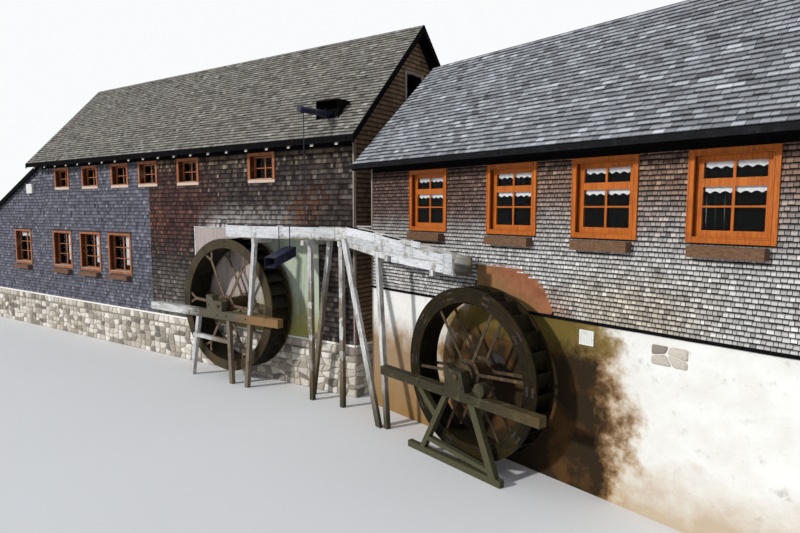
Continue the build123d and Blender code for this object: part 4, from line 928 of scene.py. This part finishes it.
# Louvre slats, vent mesh and gutter straps
bm = bmesh.new()
louvre = {"x": -18.15, "low": 5.84, "high": 0.32, "half": 0.22, "deep": 0.09, "slats": 6}
for number in range(louvre["slats"]):
    z = louvre["low"] + louvre["high"] * number / (louvre["slats"] - 1)
    x0, x1 = louvre["x"] - louvre["half"], louvre["x"] + louvre["half"]
    boardAlong(bm, longPlace, (x0, -louvre["deep"], z), (x1, -louvre["deep"], z), (0, -1, 0.6), 0.045, 0.012,
               rough=0.001)
vent = {"u": 6.425, "z": 2.85, "wide": 0.29, "high": 0.27, "deep": 0.025, "bars": 8, "rim": 0.022, "bar": 0.008}
planed = {"rough": 0, "bevel": 0.002}
u0, u1 = vent["u"] - vent["wide"] / 2, vent["u"] + vent["wide"] / 2
z0, z1 = vent["z"] - vent["high"] / 2, vent["z"] + vent["high"] / 2
for number in range(vent["bars"] + 1):
    share = number / vent["bars"] - 0.5
    edge = vent["rim"] if number in (0, vent["bars"]) else vent["bar"]
    u = vent["u"] + share * (vent["wide"] - vent["rim"])
    z = vent["z"] + share * (vent["high"] - vent["rim"])
    boardAlong(bm, shortPlace, (u, -vent["deep"], z0), (u, -vent["deep"], z1), toFront, edge, 0.008, **planed)
    boardAlong(bm, shortPlace, (u0, -vent["deep"], z), (u1, -vent["deep"], z), toFront, edge, 0.007, **planed)
addPiece(bm, "ventSlats", "paleMetal")

bm = bmesh.new()
straps = 14
for y, way in ((-0.61, -1), (shortDeep + 0.61, 1)):
    for number in range(straps):
        u = 0.2 + number * (shortLong - 0.4) / (straps - 1)
        boardAlong(bm, shortPlace, (u, y, 6.125), (u, y, 6.232), (0, way, 0), 0.035, 0.006, **planed)
addPiece(bm, "gutterStraps", "blackMetalAndShade")

# Beads round the casings of the short house
bm = bmesh.new()
bead = {"wide": 0.018, "thick": 0.009, "proud": 0.034, "inner": 0.084}
centres, low, high, wide = shortOnes
for u in centres:
    for y, outward in ((-bead["proud"], toFront), (shortDeep + bead["proud"], toBack)):
        for away in (bead["wide"] / 2, bead["inner"]):
            u0, u1 = u - wide / 2 + away, u + wide / 2 - away
            for start, end in (((u0, y, low), (u0, y, high)), ((u1, y, low), (u1, y, high)),
                               ((u0, y, low + away), (u1, y, low + away)),
                               ((u0, y, high - away), (u1, y, high - away))):
                boardAlong(bm, shortPlace, start, end, outward, bead["wide"], bead["thick"], cuts=2, **planed)
addPiece(bm, "casingBeads", "varnishedCasing")

# Edge battens of the panel behind the left wheel
bm = bmesh.new()
boardAlong(bm, longPlace, (-6.79, -0.025, 1.46), (-6.79, -0.025, 4.56), toFront, 0.05, 0.015, cuts=12)
boardAlong(bm, longPlace, (-6.81, -0.025, 4.535), (-1.3, -0.025, 4.535), toFront, 0.05, 0.014, cuts=16)
addPiece(bm, "panelBattens", "paleBoard")

# Bolts of the bearings, the beams and the trestles, measured from the axles
for house, axle, spots in (
        (longPlace, (-4.24, -1.206, 2.28), ((-0.40, 0.02), (0.10, 0.02), (-0.40, 0.35), (-0.02, -0.26),
                                            (-1.0, -0.26), (0.37, -0.26), (1.2, -0.26))),
        (shortPlace, (4.31, -1.183, 1.886), ((-0.25, -0.20), (0.16, -0.20), (-0.37, -0.36), (0.33, -0.36),
                                             (-1.1, -0.36)))):
    addDiscs(nails, sheetPlace(house, axle, toRight), spots, 0.026, 0.02)
addPiece(nails, "nailsAndBolts", "darkIron")
print("boards and fittings laid")


# Wheel fittings: nails of the bucket boards, plates at the felloe joints, hub bolts and log bands

fitting = {"logRadius": 0.205, "ahead": 0.055, "bandWide": 0.04, "bandThick": 0.007, "boltsAt": 0.255,
           "hubBack": 0.045, "plate": (0.18, 0.045, 0.007), "nailsAt": (0.05, 0.12), "platesAt": (0.3, 0.72)}


def fitWheel(name, wheel, body, buckets):
    turned = Matrix.Translation(wheel["centre"]) @ Matrix.Rotation(wheel["turn"], 4, "Z")
    outer, inner, broad = wheel["radius"], wheel["inner"], wheel["broad"]
    rng = random.Random(len(name))
    bm = bmesh.new()
    for depth, way in ((0, 1), (broad, -1)):
        # Local Z leaves the wheel, local X starts along the row
        side = turned @ Matrix.Translation((0, depth, 0)) @ Matrix.Rotation(math.radians(90 * way), 4, "X")
        for number in range(buckets):
            angle = 2 * math.pi * number / buckets
            spots = [((inner + r) * math.cos(angle), (inner + r) * math.sin(angle)) for r in fitting["nailsAt"]]
            addDiscs(bm, side, spots, 0.008, 0.005)
        for number in range(wheel["felloes"]):
            spoke = side @ Matrix.Rotation(2 * math.pi * number / wheel["felloes"], 4, "Z")
            for share in fitting["platesAt"]:
                shift = Matrix.Translation((inner + (outer - inner) * share, -fitting["plate"][0] / 2, 0))
                plate = spoke @ shift @ Matrix.Rotation(math.pi / 2, 4, "Z")
                addBoard(bm, plate, fitting["plate"], rng, cuts=2, rough=0.001, bevel=0.002)
                addDiscs(bm, plate, ((0.03, 0), (0.15, 0)), 0.014, 0.014)
        hub, away = side @ Matrix.Translation((0, 0, -fitting["hubBack"])), fitting["boltsAt"]
        for number in range(wheel["arms"]):
            angle = math.radians(wheel["firstArm"] * way + 360 * number / wheel["arms"])
            addDiscs(bm, hub, [(away * math.cos(angle), away * math.sin(angle))], 0.02, 0.02)
    axis = turned @ Matrix.Rotation(math.radians(90), 4, "X")
    ahead, radius = fitting["ahead"] - 0.03, fitting["logRadius"]
    for depth in (-ahead, broad + ahead):
        ring = bmesh.new()
        bmesh.ops.create_cone(ring, cap_ends=False, segments=64, radius1=radius, radius2=radius,
                              depth=fitting["bandWide"])
        bmesh.ops.solidify(ring, geom=ring.faces[:], thickness=-fitting["bandThick"])
        joinTo(bm, ring, axis @ Matrix.Translation((0, 0, -depth)))
    addPiece(bm, name, "darkIron", body)


fitWheel("leftWheelFittings", leftWheel, "left_wheel", 32)
fitWheel("rightWheelFittings", rightWheel, "right_wheel", 28)
print("wheels fitted")


# Lace strips over the lights of the short house, narrow curtains in the long one

cloth = {"folds": 6, "deep": 0.008, "scallop": 0.032, "fine": 96}


def hangCloth(name, house, place, wide, high):
    # Gathered along its top, scalloped along its foot
    bm = bmesh.new()
    bmesh.ops.create_grid(bm, x_segments=cloth["fine"], y_segments=max(4, round(high / 0.04)), size=0.5)
    for vert in bm.verts:
        x, y = vert.co.x + 0.5, vert.co.y - 0.5
        turns = x * cloth["folds"]
        vert.co.z = cloth["deep"] * math.sin(2 * math.pi * turns) * (0.55 - 0.45 * y)
        vert.co.x = x * wide
        vert.co.y = y * (high - cloth["scallop"] * abs(math.cos(math.pi * turns)))
    area = sum(face.calc_area() for face in bm.faces)
    hung = bmesh.new()
    joinTo(hung, bm, sheetPlace(house, place, toRight))
    piece = addPiece(hung, name, "laceCloth", smooth=True)


# Dark boards stand inside the back windows: painted shade standing in for the unlit rooms seen through the
# glass
bm = bmesh.new()
backShade = {"boards": 6, "inside": 0.25, "clear": 0.05, "gap": 0.005, "thick": 0.02}
for house, (centres, sill, head, wide), y in ((shortPlace, shortOnes, shortDeep), (longPlace, lowOnes, deep),
                                              (longPlace, highOnes, deep)):
    y, low, high = y - backShade["inside"], sill + backShade["clear"], head - backShade["clear"]
    each = (wide - 2 * backShade["clear"]) / backShade["boards"]
    for x in [centre + (number - 2.5) * each for centre in centres for number in range(backShade["boards"])]:
        boardAlong(bm, house, (x, y, low), (x, y, high), toFront, each - backShade["gap"], backShade["thick"],
                   cuts=3)
addPiece(bm, "backShadeBoards", "wallBacking")

laceBar = {"lining": 0.07, "casing": 0.025, "sash": 0.095, "clear": 0.01, "y": 0.119, "high": 0.105}
half = shortHouse["wide"] / 2 - laceBar["lining"] - laceBar["casing"] - laceBar["sash"]
laceTop, paneHigh = shortHouse["head"] - 0.19, shortHouse["head"] - shortHouse["sill"] - 2 * 0.19
for number, u in enumerate(shortHouse["windows"]):
    for row, z in enumerate((laceTop + 0.005, laceTop - paneHigh * 0.30 - 0.055)):
        hangCloth(f"lace{number}_{row}", shortPlace, (u - half + laceBar["clear"], laceBar["y"], z),
                  2 * half - 2 * laceBar["clear"], laceBar["high"])
curtainY, curtainTop = 0.209, longHouse["lowHead"] - 0.14
*curtained, blindX = longHouse["lowWindows"]
for number, x in enumerate(curtained):
    hangCloth(f"curtain{number}", longPlace, (x + 0.08, curtainY, curtainTop), 0.26, 1.1)
hangCloth("leanBlind", longPlace, (blindX - 0.615, curtainY, curtainTop), 1.23, 0.20)
print("cloth hung")

cameraSettings = {"place": (10.164, -12.51, 5.15), "turnDegrees": 34.8, "dipDegrees": 5.53, "lens": 27.02}
cameraData = bpy.data.cameras.new("bankCamera")
cameraData.lens = cameraSettings["lens"]
cameraData.sensor_width = 36.0
cameraData.clip_end = 200.0
camera = bpy.data.objects.new("bankCamera", cameraData)
camera.location = cameraSettings["place"]
camera.rotation_euler = (math.radians(90 - cameraSettings["dipDegrees"]), 0,
                         math.radians(cameraSettings["turnDegrees"]))
scene.collection.objects.link(camera)
scene.camera = camera

# Studio: pale floor, white surround for the view, even light with one soft key from the left front
studio = {"floor": (0.80, 0.80, 0.79), "floorSize": 90.0, "sky": (0.85, 0.90, 1.0), "skyStrength": 0.55,
          "keyStrength": 2.7, "keyAngle": 4.0, "keyTravel": (0.52, 0.86, -0.45), "seen": (0.95, 0.96, 0.97)}
here = startLook("paleFloor")
floorColour = mixColour(noiseAt(here, 0.3), studio["floor"], tuple(v * 0.97 for v in studio["floor"]))
feed(shading["shader"], {"Base Color": floorColour, "Roughness": 0.9})
bm = bmesh.new()
bmesh.ops.create_grid(bm, x_segments=4, y_segments=4, size=studio["floorSize"] / 2)
bmesh.ops.translate(bm, verts=bm.verts, vec=(-5, 0, -0.002))
floorMesh = bpy.data.meshes.new("studioFloor")
bm.to_mesh(floorMesh)
bm.free()
floorMesh.materials.append(looks["paleFloor"])
floor = bpy.data.objects.new("studioFloor", floorMesh)
scene.collection.objects.link(floor)

scene.view_settings.view_transform = "Standard"
world = bpy.data.worlds.new("studio")
scene.world = world
world.use_nodes = True
shading["tree"] = world.node_tree
path = addNode("ShaderNodeLightPath", {}).outputs
mirrored = calc("MAXIMUM", path["Is Glossy Ray"], path["Is Transmission Ray"])
seen = calc("MAXIMUM", path["Is Camera Ray"], mirrored)
feed(world.node_tree.nodes["Background"], {
    "Color": mixColour(seen, studio["sky"], studio["seen"]),
    "Strength": remap(seen, 0.0, 1.0, studio["skyStrength"], 1.0)})
keyData = bpy.data.lights.new("key", "SUN")
keyData.energy = studio["keyStrength"]
keyData.angle = math.radians(studio["keyAngle"])
key = bpy.data.objects.new("key", keyData)
key.rotation_euler = Vector(studio["keyTravel"]).to_track_quat("-Z", "Y").to_euler()
scene.collection.objects.link(key)
